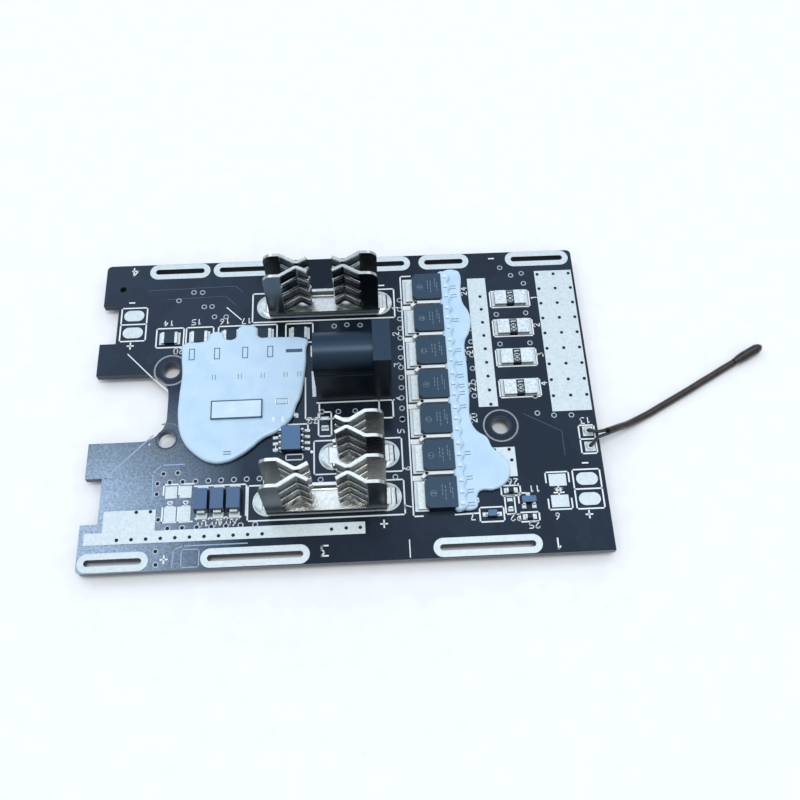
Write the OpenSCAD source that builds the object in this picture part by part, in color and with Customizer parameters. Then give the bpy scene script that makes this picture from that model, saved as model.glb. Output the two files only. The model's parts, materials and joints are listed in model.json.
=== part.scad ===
// Battery management board: a notched circuit board with three slotted fork
// contacts, a charging socket, a row of seven power transistors, four current
// shunts, a gel coated controller and a leaded temperature sensor.
// Frame: X along the board, Y towards the edge behind the negative contact,
// Z up from the tips of the trimmed legs, origin at the middle of the board.

/* [Board] */
// Length of the board
board_l = 98; // [97:0.5:102]
// Width of the board
board_w = 66; // [65.5:0.5:70]
// Thickness of the laminate
board_t = 1.6; // [1.2:0.2:2.4]
// Radius of the rounded corners
corner_r = 1; // [0.5:0.25:2]
// Thickness of a tinned copper land
land_t = 0.1; // [0.05:0.05:0.2]
// How far the trimmed legs stand out under the board
leg_stand = 1.5; // [1:0.25:2.5]

/* [Notches] */
// Width of the deep round cornered notch
bay_w = 14.6; // [12:0.2:15]
// Depth of the deep notch
bay_d = 14.6; // [12:0.2:15]
// Corner radius of the deep notch
bay_r = 5; // [3:0.5:6]
// Width of the two shallow notches
side_notch_w = 9; // [7:0.5:10]
// Depth of the shallow notches
side_notch_d = 3.2; // [2:0.2:3.6]
// Distance from the deep notch's middle to a shallow notch's middle
side_notch_y = 19; // [18:0.5:20]

/* [Holes] */
// Diameter of the three screw holes
screw_hole_d = 3.5; // [3:0.1:4]
// Distance between the two screw holes beside the deep notch
screw_pair_y = 15; // [14:0.5:17]
// Distance from the left edge to those two holes
screw_pair_x = 14.8; // [14:0.2:16]
// Place of the third screw hole, right of the middle
screw_single_x = 30.3; // [29.5:0.1:31]
// Diameter of the small tooling hole
tooling_hole_d = 1.3; // [1:0.1:2]

/* [Weld slots] */
// Width of the slot that a cell tab passes through
weld_slot_w = 1.2; // [0.8:0.1:1.6]
// Width of the tinned ring round each slot
weld_ring_w = 1.2; // [0.8:0.1:1.3]
// Distance from the board's edge to a slot's middle line
weld_slot_edge = 1.9; // [1.9:0.1:2.2]
// Thickness of the plating on the slot's wall
plating_t = 0.1; // [0.05:0.05:0.15]

/* [Fork contacts] */
// Thickness of the contact sheet
sheet_t = 0.6; // [0.4:0.05:0.8]
// Height of a contact over its land
fork_h = 15; // [12:0.5:18]
// Outside width of the channel
fork_w = 5.4; // [5:0.1:6]
// Length of the two contacts with springs at both ends
fork_l = 22.2; // [21:0.2:24]
// Length of the single ended contact
short_fork_l = 9.8; // [9.4:0.2:11]
// Width of the flat post at a contact's end
post_w = 3.4; // [2.6:0.2:3.8]
// Distance from a contact's end to the pinch line
pinch_x = 6.6; // [6.2:0.2:7]
// Distance from a contact's end to the finger tips
finger_end_x = 8.7; // [8.4:0.1:9]
// Clear gap between facing fingers at the pinch line
pinch_gap = 0.3; // [0.1:0.1:0.6]
// How far a finger tip flares out from the pinch
finger_flare = 1.1; // [0.6:0.1:1.4]
// Number of fingers one over another on each wall
finger_n = 4; // [3:1:5]
// Height of the slit between fingers
slit_h = 0.65; // [0.4:0.05:0.9]
// Height of the low wall under the fingers
curb_h = 2; // [1.5:0.1:2.6]
// Radius of a post's outer top corner
post_r = 2; // [1:0.25:2.5]
// Width of the solder legs
leg_w = 3.2; // [2.4:0.2:3.6]
// How far a leg stands out past the channel's end
leg_reach = 0.9; // [0.8:0.1:1.2]
// Radius of the round solder pad at each leg
leg_pad_r = 2.8; // [2.4:0.1:3]

/* [Charging socket] */
// Length of the socket housing
jack_l = 14.4; // [14:0.2:15]
// Width of the housing
jack_w = 8.6; // [8.2:0.1:9]
// Height of the front flange
jack_h = 16.2; // [15.6:0.2:17]
// Thickness of the front flange
flange_t = 3.3; // [2.5:0.1:4]
// Height of the straight sided lower body
jack_box_h = 10.4; // [10:0.2:11]
// Height of the plug hole's axis
jack_axis_h = 11.4; // [11.2:0.1:11.6]
// Radius of the round upper body
jack_barrel_r = 4.1; // [3.9:0.05:4.2]
// Diameter of the plug hole
plug_hole_d = 6.2; // [5.8:0.1:6.4]
// Depth of the plug hole
plug_hole_l = 9.6; // [9:0.2:10]
// Diameter of the centre pin
centre_pin_d = 2; // [1.6:0.1:2.5]

/* [Power transistors] */
// Number of power transistors in the row
fet_n = 7; // [5:1:7]
// Distance between neighbouring transistors
fet_pitch = 7.5; // [7.3:0.1:7.6]
// Length of a transistor body
fet_l = 6.1; // [5.8:0.1:6.3]
// Width of a transistor body
fet_w = 6.2; // [6:0.1:6.6]
// Height of a transistor body
fet_h = 2; // [1.8:0.1:2.6]
// Thickness of the transistor's tab and leads
fet_frame_t = 0.5; // [0.4:0.05:0.6]

/* [Current shunts] */
// Number of shunts
shunt_n = 4; // [2:1:4]
// Distance between neighbouring shunts
shunt_pitch = 6.9; // [6:0.1:7]
// Length of a shunt
shunt_l = 6.4; // [6:0.1:6.8]
// Width of a shunt
shunt_w = 3.2; // [2.8:0.1:3.6]
// Height of a shunt
shunt_h = 0.9; // [0.6:0.1:1.2]

/* [Gel coating] */
// Height of the controller coating over its land, with the controller's top standing out of it
gel_h = 1.3; // [0.9:0.1:1.4]
// Height of the round blob over the gate resistors
blob_h = 1.2; // [1:0.1:2]

/* [Temperature sensor] */
// Diameter of one sensor wire
wire_d = 0.7; // [0.5:0.05:0.8]
// Diameter of the brown sleeve
sleeve_d = 1.5; // [1.45:0.05:1.8]
// Diameter of the sensor bead
bead_d = 2.1; // [1.9:0.1:2.6]

/* [Hidden] */
$fn = 40;

// Levels
under_z = leg_stand;
deck_z = under_z + board_t;
seat_z = deck_z + land_t;

// Half sizes of the board
half_l = board_l / 2;
half_w = board_w / 2;

// Parts are placed on a grid of 98 by 66 steps that spreads over the board
function px(x) = x * board_l / 98;
function py(y) = y * board_w / 66;

// Middle lines of the left edge pattern and of the screw holes
bay_y = py(-0.3);
screw_mid_y = py(0.2);

// Weld slots: middle from the board's centre and length over the ring
back_slots = [
    [px(-33.7), 12.6], [px(-20.4), 12.6], [px(9.4), 10.6], [px(21.8), 10.6],
    [half_l - 7.4, 13.4]
];
front_slots = [[-half_l + 6.6, 12.8], [px(-16.7), 19.8], [px(25.7), 20]];
weld_ring_full_w = weld_slot_w + 2 * weld_ring_w;
weld_y = half_w - weld_slot_edge;

// Fork contacts: right hand end, and middle line of each
fork_right_x = px(-3.5) + fork_l / 2;
negative_y = py(21.5);
positive_long_y = py(-20.9);
positive_short_y = py(-12.3);
wall_y = (fork_w - sheet_t) / 2;
pinch_y = (pinch_gap + sheet_t) / 2;
finger_pitch = (fork_h - curb_h) / finger_n;
fold_r = 0.6;
leg_hole_w = sheet_t + 0.4;
leg_hole_l = leg_w + 0.6;

// Charging socket: mouth of the plug hole and middle line
jack_mouth_x = px(2.2) + jack_l / 2;
jack_y = py(3.7);
jack_strip_t = 0.4;
jack_strip_w = 2.2;
jack_pocket_gap = 0.3;
jack_neck_w = 2 * jack_barrel_r - 0.1;
jack_spring_x = jack_mouth_x - 8.9;
jack_switch_x = jack_mouth_x - 5.8;

// Transistor row: tab side of the bodies and middle of the first one
fet_x = px(14.7);
fet_first_y = py(1.4) + (fet_n - 1) / 2 * fet_pitch;
fet_tab_w = 5.3;
fet_tab_out = 1.3;
fet_lead_w = 0.8;
fet_lead_pitch = 2.3;
fet_lead_out = 2.7;
fet_chamfer = 0.8;
fet_draft = 0.975;

// Clearance between the coatings and what they cover
gel_gap = 0.03;

// Shunts
shunt_x = px(34.9);
shunt_first_y = py(10.95) + (shunt_n - 1) / 2 * shunt_pitch;
shunt_end_l = 2.4;

// Chip sizes: length, width, height, end cap
chip_large = [3.2, 2.5, 0.55, 0.55];
chip_middle = [2, 1.25, 0.5, 0.4];
chip_small = [1.6, 0.8, 0.45, 0.3];

// Chips: x, y, turn, size
balance_resistors = [
    for (x = [-34.9, -28.9, -22.4, -16, -8.7]) [px(x), py(14.9), 0, chip_large]
];
covered_resistors = [
    for (x = [-30.3, -25.2, -19.7, -14.4]) [px(x), py(10.2), 90, chip_small],
    [px(-20.5), py(5.9), 90, chip_small], [px(-11.4), py(5.6), 90, chip_small],
    [px(-12.3), py(-0.2), 0, chip_small], [px(-28.6), py(-2), 90, chip_small]
];
gate_resistors = [
    for (i = [0:fet_n - 1]) [fet_x + fet_l + 3.5, fet_first_y - i * fet_pitch - 0.4, 90, chip_small]
];
open_resistors = [
    [px(-3.7), py(-5.4), 90, chip_middle], [px(30.9), py(-20.7), 0, chip_small],
    [px(30.5), py(-23.5), 90, chip_small], [px(33.9), py(-26), 0, chip_small],
    [px(-10.2), py(-3.4), 0, chip_small]
];
capacitors = [
    [px(-9.7), py(9.6), 0, chip_small], [px(-25.7), py(6.2), 90, chip_middle],
    [px(-16.1), py(5.8), 90, chip_small], [px(-13), py(-2.4), 0, chip_small],
    [px(-22.4), py(-9.4), 0, chip_middle]
];
resistors = concat(balance_resistors, covered_resistors, gate_resistors, open_resistors);
chips = concat(resistors, capacitors);

// Integrated circuits: body length along the lead rows, body width, height, leads a side
ic_pitch = 1.27;
controller = [9.9, 3.9, 1.5, 8];
controller_at = [px(-20.7), py(-2.2), 0];
driver = [4.9, 3.9, 1.5, 4];
driver_at = [px(-10.2), py(-8.6), 90];
ic_lead_w = 0.42;
ic_lead_t = 0.2;
ic_reach = 1.05;

// Rectifiers stand side by side
rectifier = [2.6, 4.3, 2.2];
rectifier_gap = 0.4;
rectifier_xs = [for (i = [-1:1]) px(-23.7) + i * (rectifier[0] + rectifier_gap)];
rectifier_y = py(-20.4);

// Small signal parts: diode and three legged transistor, places and bodies
diode_at = [px(27), py(-25.2), 0];
diode_size = [1.8, 1.3, 1];
trio_at = [px(34), py(-22.8), 0];
trio_size = [2.9, 1.3, 1];

// Bare pads: x, y, length, width
lamp_pads = [
    [-half_l + 6.5, py(20.6)], [-half_l + 6.5, py(20.6) - 4],
    [half_l - 3.5, py(-19)], [half_l - 3.5, py(-19) - 4]
];
lamp_pad = [4.1, 2.5];
empty_pads = [
    [px(-32.6), py(-22.5), 2.2, 2.9], [px(-29.9), py(-22.5), 2.2, 2.9],
    [px(-32.6), py(-18.2), 2.2, 2.4], [px(-29.9), py(-18.2), 2.2, 2.4],
    [px(39.9), py(-19), 3.3, 2.4], [px(39.9), py(-23.2), 3.3, 2.4]
];

// Tinned lands: left front corner, and size
wide_land = [half_l - 8.3, py(-4.8), 7.8, py(32.7)];
strip_land = [px(26.4), py(-3.2), 3.8, py(29.8)];
rail_land = [-half_l + 1, py(-27.8), px(51.4), 2.3];
block_land = [-half_l + 4.2, py(-27.8) + 2.3, 9.6, 4.1];
corner_land = [px(27.4), py(-17.9), 5.1, 6];

// Temperature sensor: wire holes, and the route of the lead from the board's
// edge down to the surface and out
sensor_xs = half_l - 2;
sensor_ys = [py(-10.9) + 1.6, py(-10.9) - 1.6];
sensor_hole_d = wire_d + 0.2;
sleeve_path = [
    [50.6, -9.9, 4.1], [52, -9.3, 3.65], [53.4, -8.6, 2.95], [54.9, -7.9, 2.1],
    [56.5, -7, 1.35], [58.2, -6.1, 0.9], [60.2, -5.1, 0.75], [62.4, -3.9, 0.75],
    [64.8, -2.6, 0.75], [67.2, -1.3, 0.75], [69.6, 0, 0.75], [72, 1.4, 0.75],
    [74.4, 2.7, 0.75], [76.8, 4.1, 0.75], [79.4, 5.5, 0.75]
];
bead_l = 7.4;

// ---------------------------------------------------------------- functions

function unit(v) = v / norm(v);

// Points of the arc that rounds the corner at b between a and c
function bend(a, b, c, r, n) =
    let (
        u = unit(a - b),
        v = unit(c - b),
        half = acos(u * v) / 2,
        o = b + unit(u + v) * (r / sin(half)),
        s = b + u * (r / tan(half)) - o,
        e = b + v * (r / tan(half)) - o,
        start = atan2(s.y, s.x),
        turn = (atan2(e.y, e.x) - start + 540) % 360 - 180
    )
    [for (i = [0:n]) o + r * [cos(start + turn * i / n), sin(start + turn * i / n)]];

// An open line of points with every inner corner rounded
function rounded_line(p, r, n = 5) = concat(
    [p[0]],
    [for (i = [1:len(p) - 2]) each bend(p[i - 1], p[i], p[i + 1], r, n)],
    [p[len(p) - 1]]
);

// Outline of a strip of thickness t along an open line
function strip_outline(p, t) =
    let (
        last = len(p) - 1,
        side = [
            for (i = [0:last])
                let (
                    before = i == 0 ? [0, 0] : unit(p[i] - p[i - 1]),
                    after = i == last ? [0, 0] : unit(p[i + 1] - p[i]),
                    d = unit(before + after)
                )
                [-d.y, d.x] * t / 2
        ]
    )
    concat([for (i = [0:last]) p[i] + side[i]], [for (i = [last:-1:0]) p[i] - side[i]]);

// Points of a tube of diameter d swept along a 3D line, sides round it
function tube_points(p, d, sides) = [
    for (i = [0:len(p) - 1])
        let (
            before = i == 0 ? [0, 0, 0] : unit(p[i] - p[i - 1]),
            after = i == len(p) - 1 ? [0, 0, 0] : unit(p[i + 1] - p[i]),
            along = unit(before + after),
            across = unit(cross(along, [-1, 2, 0])),
            up = cross(across, along)
        )
        for (k = [0:sides - 1])
            p[i] + d / 2 * (across * cos(360 * k / sides) + up * sin(360 * k / sides))
];

function tube_faces(rings, sides) = concat(
    [[for (k = [0:sides - 1]) k]],
    [
        for (i = [0:rings - 2], k = [0:sides - 1])
            [
                i * sides + k, (i + 1) * sides + k,
                (i + 1) * sides + (k + 1) % sides, i * sides + (k + 1) % sides
            ]
    ],
    [[for (k = [sides - 1:-1:0]) (rings - 1) * sides + k]]
);

// ------------------------------------------------------------ shared shapes

module stadium(l, w) {
    square([l - w, w], center = true);
    for (x = [-1, 1]) translate([x * (l - w) / 2, 0]) circle(d = w);
}

module corner_cutter(r) {
    difference() {
        translate([0, 0]) square(r + 0.5);
        circle(r);
    }
}

module tube(p, d, sides = 8) {
    polyhedron(tube_points(p, d, sides), tube_faces(len(p), sides), convexity = 4);
}

// A strip drawn as a side view, x outwards and y up, and w wide along Y
module side_strip(p, t, w, r) {
    rotate([90, 0, 0])
        translate([0, 0, -w / 2])
            linear_extrude(w) polygon(strip_outline(rounded_line(p, r), t));
}

// The children at every weld slot, with the slot's full ring length in $slot_l
module each_weld_slot() {
    for (s = back_slots) translate([s[0], weld_y, 0]) {
        $slot_l = s[1];
        children();
    }
    for (s = front_slots) translate([s[0], -weld_y, 0]) {
        $slot_l = s[1];
        children();
    }
}

// The children at every contact leg, turned so that +X points away from the contact
module each_contact_leg() {
    for (y = [negative_y, positive_long_y]) {
        translate([fork_right_x, y, 0]) children();
        translate([fork_right_x - fork_l, y, 0]) mirror([1, 0, 0]) children();
    }
    translate([fork_right_x, positive_short_y, 0]) children();
    translate([fork_right_x - short_fork_l, positive_short_y, 0]) mirror([1, 0, 0]) children();
}

// The children at each of the socket's three terminals
jack_rear_x = jack_mouth_x - jack_l;
jack_terminals = [
    [jack_rear_x - jack_strip_t / 2, jack_y, 90], [jack_spring_x, jack_y, 90],
    [jack_switch_x, jack_y - jack_w / 2 + 1.2, 0]
];
module each_jack_terminal() {
    for (p = jack_terminals) translate([p[0], p[1], 0]) rotate(p[2]) children();
}

// ------------------------------------------------------------------- board

module board_outline() {
    difference() {
        square([board_l, board_w], center = true);
        for (c = [[-1, -1], [-1, 1], [1, 1]])
            translate([c[0] * (half_l - corner_r), c[1] * (half_w - corner_r)])
                scale([c[0], c[1]]) corner_cutter(corner_r);
        translate([-half_l, bay_y]) bay_outline();
        for (s = [-1, 1])
            translate([-half_l, bay_y + s * side_notch_y])
                square([2 * side_notch_d, side_notch_w], center = true);
    }
}

module bay_outline() {
    translate([-1, -bay_w / 2]) square([bay_d - bay_r + 1, bay_w]);
    translate([0, -bay_w / 2 + bay_r]) square([bay_d, bay_w - 2 * bay_r]);
    for (s = [-1, 1]) translate([bay_d - bay_r, s * (bay_w / 2 - bay_r)]) circle(bay_r);
}

module board_holes() {
    for (s = [-1, 1])
        translate([-half_l + screw_pair_x, screw_mid_y + s * screw_pair_y / 2])
            circle(d = screw_hole_d);
    translate([screw_single_x, screw_mid_y - screw_pair_y / 2]) circle(d = screw_hole_d);
    translate([-half_l + 3.7, 27.1]) circle(d = tooling_hole_d);
    each_weld_slot()
        stadium($slot_l - 2 * weld_ring_w + 2 * plating_t, weld_slot_w + 2 * plating_t);
    each_contact_leg() translate([leg_reach, 0]) rotate(90) stadium(leg_hole_l, leg_hole_w);
    each_jack_terminal() stadium(jack_strip_w + 0.6, jack_strip_t + 0.5);
    for (y = sensor_ys) translate([sensor_xs, y]) circle(d = sensor_hole_d);
}

module circuit_board() {
    color([0.11, 0.14, 0.19])
        translate([0, 0, under_z])
            linear_extrude(board_t) difference() {
                board_outline();
                board_holes();
            }
}

module weld_slot_plating() {
    color([0.85, 0.88, 0.89])
        each_weld_slot() {
            for (z = [under_z - land_t, deck_z])
                translate([0, 0, z])
                    linear_extrude(land_t) difference() {
                        stadium($slot_l, weld_ring_full_w);
                        stadium($slot_l - 2 * weld_ring_w, weld_slot_w);
                    }
            translate([0, 0, under_z])
                linear_extrude(board_t) difference() {
                    stadium(
                        $slot_l - 2 * weld_ring_w + 2 * plating_t, weld_slot_w + 2 * plating_t
                    );
                    stadium($slot_l - 2 * weld_ring_w, weld_slot_w);
                }
        }
}

module land(l) {
    translate([l[0], l[1], deck_z]) cube([l[2], l[3], land_t]);
}

module tinned_lands() {
    color([0.8, 0.84, 0.86]) {
        land(wide_land);
        land(strip_land);
        difference() {
            union() {
                land(rail_land);
                land(block_land);
            }
            fork_footprints();
        }
        land(corner_land);
    }
}

// Room that the contacts' own pads take
module fork_footprints() {
    translate([0, 0, deck_z - 1])
        linear_extrude(3) offset(delta = 0.3) fork_pads();
}

module fork_pads() {
    for (y = [negative_y, positive_long_y]) {
        translate([fork_right_x - fork_l / 2, y]) square([fork_l, fork_w], center = true);
    }
    translate([fork_right_x - short_fork_l / 2, positive_short_y])
        square([short_fork_l, fork_w], center = true);
    each_contact_leg() circle(leg_pad_r);
}

module pad(x, y, l, w) {
    translate([x - l / 2, y - w / 2, deck_z]) cube([l, w, land_t]);
}

module chip_pads(chip) {
    size = chip[3];
    pad_l = size[3] + 0.5;
    translate([chip[0], chip[1], 0]) rotate(chip[2])
        for (s = [-1, 1]) pad(s * (size[0] / 2 - size[3] / 2 + 0.25), 0, pad_l, size[1] + 0.2);
}

module ic_pads(at, ic) {
    translate([at[0], at[1], 0]) rotate(at[2])
        for (s = [-1, 1], i = [0:ic[3] - 1])
            pad((i - (ic[3] - 1) / 2) * ic_pitch, s * (ic[1] / 2 + ic_reach - 0.2), 0.6, 1.5);
}

module solder_lands() {
    color([0.82, 0.85, 0.86]) {
        translate([0, 0, deck_z]) linear_extrude(land_t) difference() {
            fork_pads();
            board_holes();
        }
        for (c = chips) chip_pads(c);
        ic_pads(controller_at, controller);
        ic_pads(driver_at, driver);
        for (p = lamp_pads)
            translate([p[0], p[1], deck_z]) linear_extrude(land_t) stadium(lamp_pad[0], lamp_pad[1]);
        for (p = empty_pads) pad(p[0], p[1], p[2], p[3]);
        for (i = [0:fet_n - 1]) fet_pads(i);
        for (i = [0:shunt_n - 1])
            for (s = [-1, 1])
                pad(
                    shunt_x + s * (shunt_l / 2 - shunt_end_l / 2 + 0.3),
                    shunt_first_y - i * shunt_pitch, shunt_end_l + 0.6, shunt_w + 0.2
                );
        for (x = rectifier_xs, s = [-1, 1])
            pad(x, rectifier_y + s * (rectifier[1] / 2 + 0.1), rectifier[0] - 0.6, 2);
        diode_pads();
        trio_pads();
        for (y = sensor_ys)
            translate([sensor_xs, y, deck_z]) linear_extrude(land_t) difference() {
                square([2, 2], center = true);
                circle(d = sensor_hole_d);
            }
    }
}

// ------------------------------------------------------------ fork contacts

// Plan line of one wall's post and spring fingers, x inwards from the contact's end
finger_line = [
    [0, wall_y], [post_w, wall_y], [pinch_x, pinch_y],
    [finger_end_x, pinch_y + finger_flare]
];

// Both walls of one end, slit into fingers, over a channel that starts at x = 0
module spring_end() {
    difference() {
        for (s = [0, 1]) mirror([0, s, 0])
            translate([0, 0, curb_h - 0.5])
                linear_extrude(fork_h - curb_h + 0.5)
                    polygon(strip_outline(rounded_line(finger_line, 0.9), sheet_t));
        for (i = [0:finger_n - 1])
            translate([post_w, -fork_w, curb_h + i * finger_pitch])
                cube([finger_end_x, 2 * fork_w, slit_h]);
        translate([post_w, -fork_w, 0]) cube([finger_end_x, 2 * fork_w, curb_h]);
        translate([post_r, fork_w, fork_h - post_r]) rotate([90, 0, 0])
            linear_extrude(2 * fork_w) scale([-1, 1]) corner_cutter(post_r);
    }
}

// The tab at a channel's end, folded down through the board
module contact_leg() {
    side_strip(
        [
            [-1.5, sheet_t / 2], [leg_reach, sheet_t / 2],
            [leg_reach, -land_t - board_t - leg_stand]
        ],
        sheet_t, leg_w, 0.4
    );
}

module channel(l) {
    rotate([90, 0, 90]) linear_extrude(l)
        polygon(strip_outline(
            rounded_line(
                [[-wall_y, curb_h], [-wall_y, sheet_t / 2], [wall_y, sheet_t / 2], [wall_y, curb_h]],
                fold_r
            ),
            sheet_t
        ));
}

// A contact l long, ending at x = 0, with springs at its right end and, if two_ended, at both
module fork_contact(l, two_ended) {
    translate([-l, 0, 0]) channel(l);
    mirror([1, 0, 0]) spring_end();
    if (two_ended) translate([-l, 0, 0]) spring_end();
    contact_leg();
    translate([-l, 0, 0]) mirror([1, 0, 0]) contact_leg();
}

module contact_negative() {
    color([0.72, 0.72, 0.68])
        translate([fork_right_x, negative_y, seat_z]) fork_contact(fork_l, true);
}

module contact_positive_long() {
    color([0.72, 0.72, 0.68])
        translate([fork_right_x, positive_long_y, seat_z]) fork_contact(fork_l, true);
}

module contact_positive_short() {
    color([0.72, 0.72, 0.68])
        translate([fork_right_x, positive_short_y, seat_z]) fork_contact(short_fork_l, false);
}

// Solder drawn up the outside of each leg
module contact_solder() {
    color([0.8, 0.82, 0.84])
        each_contact_leg() translate([0, 0, seat_z])
            difference() {
                hull() {
                    linear_extrude(0.1) intersection() {
                        circle(leg_pad_r - 0.2);
                        translate([0.1, -leg_pad_r]) square(2 * leg_pad_r);
                    }
                    translate([leg_reach, 0, 0.1]) cube([sheet_t + 0.4, leg_w, 0.7], center = true);
                }
                translate([0, 0, 0]) contact_leg();
                translate([0, 0, -1]) cube([20, 20, 2], center = true);
            }
}

// Solder cones round everything that comes through the board
module solder_cone(l, w, h) {
    translate([0, 0, under_z - h]) hull() {
        translate([-l / 2, -w / 2, 0]) cube([l, w, 0.1]);
        translate([-l / 2 - 0.8, -w / 2 - 0.8, h - 0.1]) cube([l + 1.6, w + 1.6, 0.1]);
    }
}

module underside_solder() {
    color([0.8, 0.82, 0.84]) {
        difference() {
            each_contact_leg() translate([leg_reach, 0, 0]) solder_cone(0.9, leg_w + 0.3, 0.8);
            each_contact_leg() translate([0, 0, seat_z]) contact_leg();
        }
        difference() {
            each_jack_terminal() solder_cone(jack_strip_w + 0.3, 0.7, 0.8);
            each_jack_terminal() jack_leg();
        }
        for (y = sensor_ys) translate([sensor_xs, y, 0]) difference() {
            translate([0, 0, under_z - 0.8]) cylinder(h = 0.8, r1 = 0.5, r2 = 1);
            translate([0, 0, -1]) cylinder(h = 5, d = wire_d);
        }
    }
}

// ---------------------------------------------------------- charging socket

// The straight end of a terminal strip, from inside the housing to the leg's tip
module jack_leg() {
    translate([-jack_strip_w / 2, -jack_strip_t / 2, 0]) cube([jack_strip_w, jack_strip_t, deck_z + 1.5]);
}

module jack_housing() {
    color([0.05, 0.07, 0.1])
        translate([jack_mouth_x, jack_y, deck_z]) difference() {
            union() {
                translate([-flange_t, -jack_w / 2, 0]) cube([flange_t, jack_w, jack_h]);
                translate([-jack_l, -jack_w / 2 + 0.1, 0]) cube([jack_l, jack_w - 0.2, jack_box_h]);
                translate([-jack_l, 0, jack_axis_h]) rotate([0, 90, 0])
                    cylinder(h = jack_l - 1, r = jack_barrel_r);
                translate([-jack_l, -jack_neck_w / 2, jack_box_h - 0.1])
                    cube([jack_l - 1, jack_neck_w, jack_axis_h - jack_box_h + 0.1]);
            }
            translate([-plug_hole_l, 0, jack_axis_h]) rotate([0, 90, 0])
                cylinder(h = plug_hole_l + 1, d = plug_hole_d);
            // Rivet hole of the centre pin
            translate([-jack_l - 1, 0, jack_axis_h]) rotate([0, 90, 0])
                cylinder(h = jack_l, d = centre_pin_d);
            // Pocket of the sleeve spring, open underneath
            translate([
                -(jack_mouth_x - jack_spring_x) - 0.9, -jack_strip_w / 2 - jack_pocket_gap, -1
            ])
                cube([5.6, jack_strip_w + 2 * jack_pocket_gap, jack_axis_h - centre_pin_d / 2]);
            // Slot of the switch blade
            translate([
                -(jack_mouth_x - jack_switch_x) - jack_strip_w / 2 - jack_pocket_gap,
                -jack_w / 2 + 1.2 - jack_strip_t / 2 - jack_pocket_gap, -1
            ])
                cube([
                    jack_strip_w + 2 * jack_pocket_gap, jack_strip_t + 2 * jack_pocket_gap,
                    jack_axis_h + 2
                ]);
        }
}

// Centre pin, riveted to a strip that runs down the back of the housing
module jack_centre_pin() {
    color([0.75, 0.76, 0.74]) {
        translate([jack_rear_x, jack_y, deck_z + jack_axis_h]) rotate([0, 90, 0])
            cylinder(h = jack_l - 1.2, d = centre_pin_d);
        translate([jack_mouth_x - 1.2, jack_y, deck_z + jack_axis_h]) rotate([0, 90, 0])
            cylinder(h = 0.6, d1 = centre_pin_d, d2 = centre_pin_d - 1);
        translate([jack_rear_x - jack_strip_t, jack_y - jack_strip_w / 2, 0])
            cube([jack_strip_t, jack_strip_w, deck_z + jack_axis_h + 1.4]);
    }
}

// Leaf that presses on the plug's sleeve from below
module jack_sleeve_spring() {
    color([0.75, 0.76, 0.74])
        translate([jack_spring_x, jack_y, deck_z])
            side_strip(
                [
                    [0, -deck_z], [0, jack_axis_h - plug_hole_d / 2 - 1.4],
                    [3.6, jack_axis_h - plug_hole_d / 2 + 0.3],
                    [4.3, jack_axis_h - plug_hole_d / 2 - 0.3]
                ],
                jack_strip_t, jack_strip_w, 0.35
            );
}

// Blade at the side that opens when a plug is pushed in
module jack_switch_blade() {
    color([0.75, 0.76, 0.74])
        translate([
            jack_switch_x - jack_strip_w / 2, jack_y - jack_w / 2 + 1.2 - jack_strip_t / 2, 0
        ])
            cube([jack_strip_w, jack_strip_t, deck_z + jack_axis_h + 0.4]);
}

// -------------------------------------------------------- power transistors

// The children at transistor i's tab side face and middle line
module at_fet(i) {
    translate([fet_x, fet_first_y - i * fet_pitch, seat_z]) children();
}

// Tab, and the three leads of a transistor
module fet_frame() {
    translate([-fet_tab_out, -fet_tab_w / 2, 0])
        cube([fet_tab_out + fet_l - 1.4, fet_tab_w, fet_frame_t]);
    for (s = [-1, 1])
        translate([fet_l - 0.6, s * fet_lead_pitch, 0])
            side_strip(
                [
                    [0, 1.25], [1.3, 1.25], [1.7, fet_frame_t / 2],
                    [fet_lead_out + 0.6, fet_frame_t / 2]
                ],
                fet_frame_t, fet_lead_w, 0.3
            );
    translate([fet_l - 0.6, 0, 0])
        translate([0, -fet_lead_w / 2, 1.25 - fet_frame_t / 2]) cube([1.4, fet_lead_w, fet_frame_t]);
}

module fet_body() {
    difference() {
        translate([fet_l / 2, 0, 0])
            linear_extrude(fet_h, scale = fet_draft) polygon([
                [-fet_l / 2 + fet_chamfer, -fet_w / 2], [fet_l / 2, -fet_w / 2],
                [fet_l / 2, fet_w / 2], [-fet_l / 2 + fet_chamfer, fet_w / 2],
                [-fet_l / 2, fet_w / 2 - fet_chamfer], [-fet_l / 2, -fet_w / 2 + fet_chamfer]
            ]);
        fet_frame();
    }
}

module fet_pads(i) {
    y = fet_first_y - i * fet_pitch;
    pad(fet_x - fet_tab_out - 0.6 + 3.9, y, 7.8, fet_tab_w + 0.7);
    for (s = [-1, 1])
        pad(fet_x + fet_l + fet_lead_out - 0.9, y + s * fet_lead_pitch, 2.4, 1.5);
}

module transistor_body(i) {
    if (i < fet_n) color([0.12, 0.15, 0.2]) at_fet(i) fet_body();
}

module transistor_frame(i) {
    if (i < fet_n) color([0.8, 0.82, 0.82]) at_fet(i) fet_frame();
}

// ------------------------------------------------------------------- shunts

module at_shunt(i) {
    translate([shunt_x, shunt_first_y - i * shunt_pitch, seat_z]) children();
}

module shunt_core(i) {
    if (i < shunt_n) color([0.1, 0.11, 0.13]) at_shunt(i)
        translate([-shunt_l / 2 + shunt_end_l, -shunt_w / 2 + 0.1, 0.1])
            cube([shunt_l - 2 * shunt_end_l, shunt_w - 0.2, shunt_h - 0.2]);
}

module shunt_ends(i) {
    if (i < shunt_n) color([0.82, 0.85, 0.85]) at_shunt(i)
        for (s = [-1, 1])
            translate([s * (shunt_l - shunt_end_l) / 2, 0, shunt_h / 2])
                cube([shunt_end_l, shunt_w, shunt_h], center = true);
}

// -------------------------------------------------------------------- chips

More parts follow.
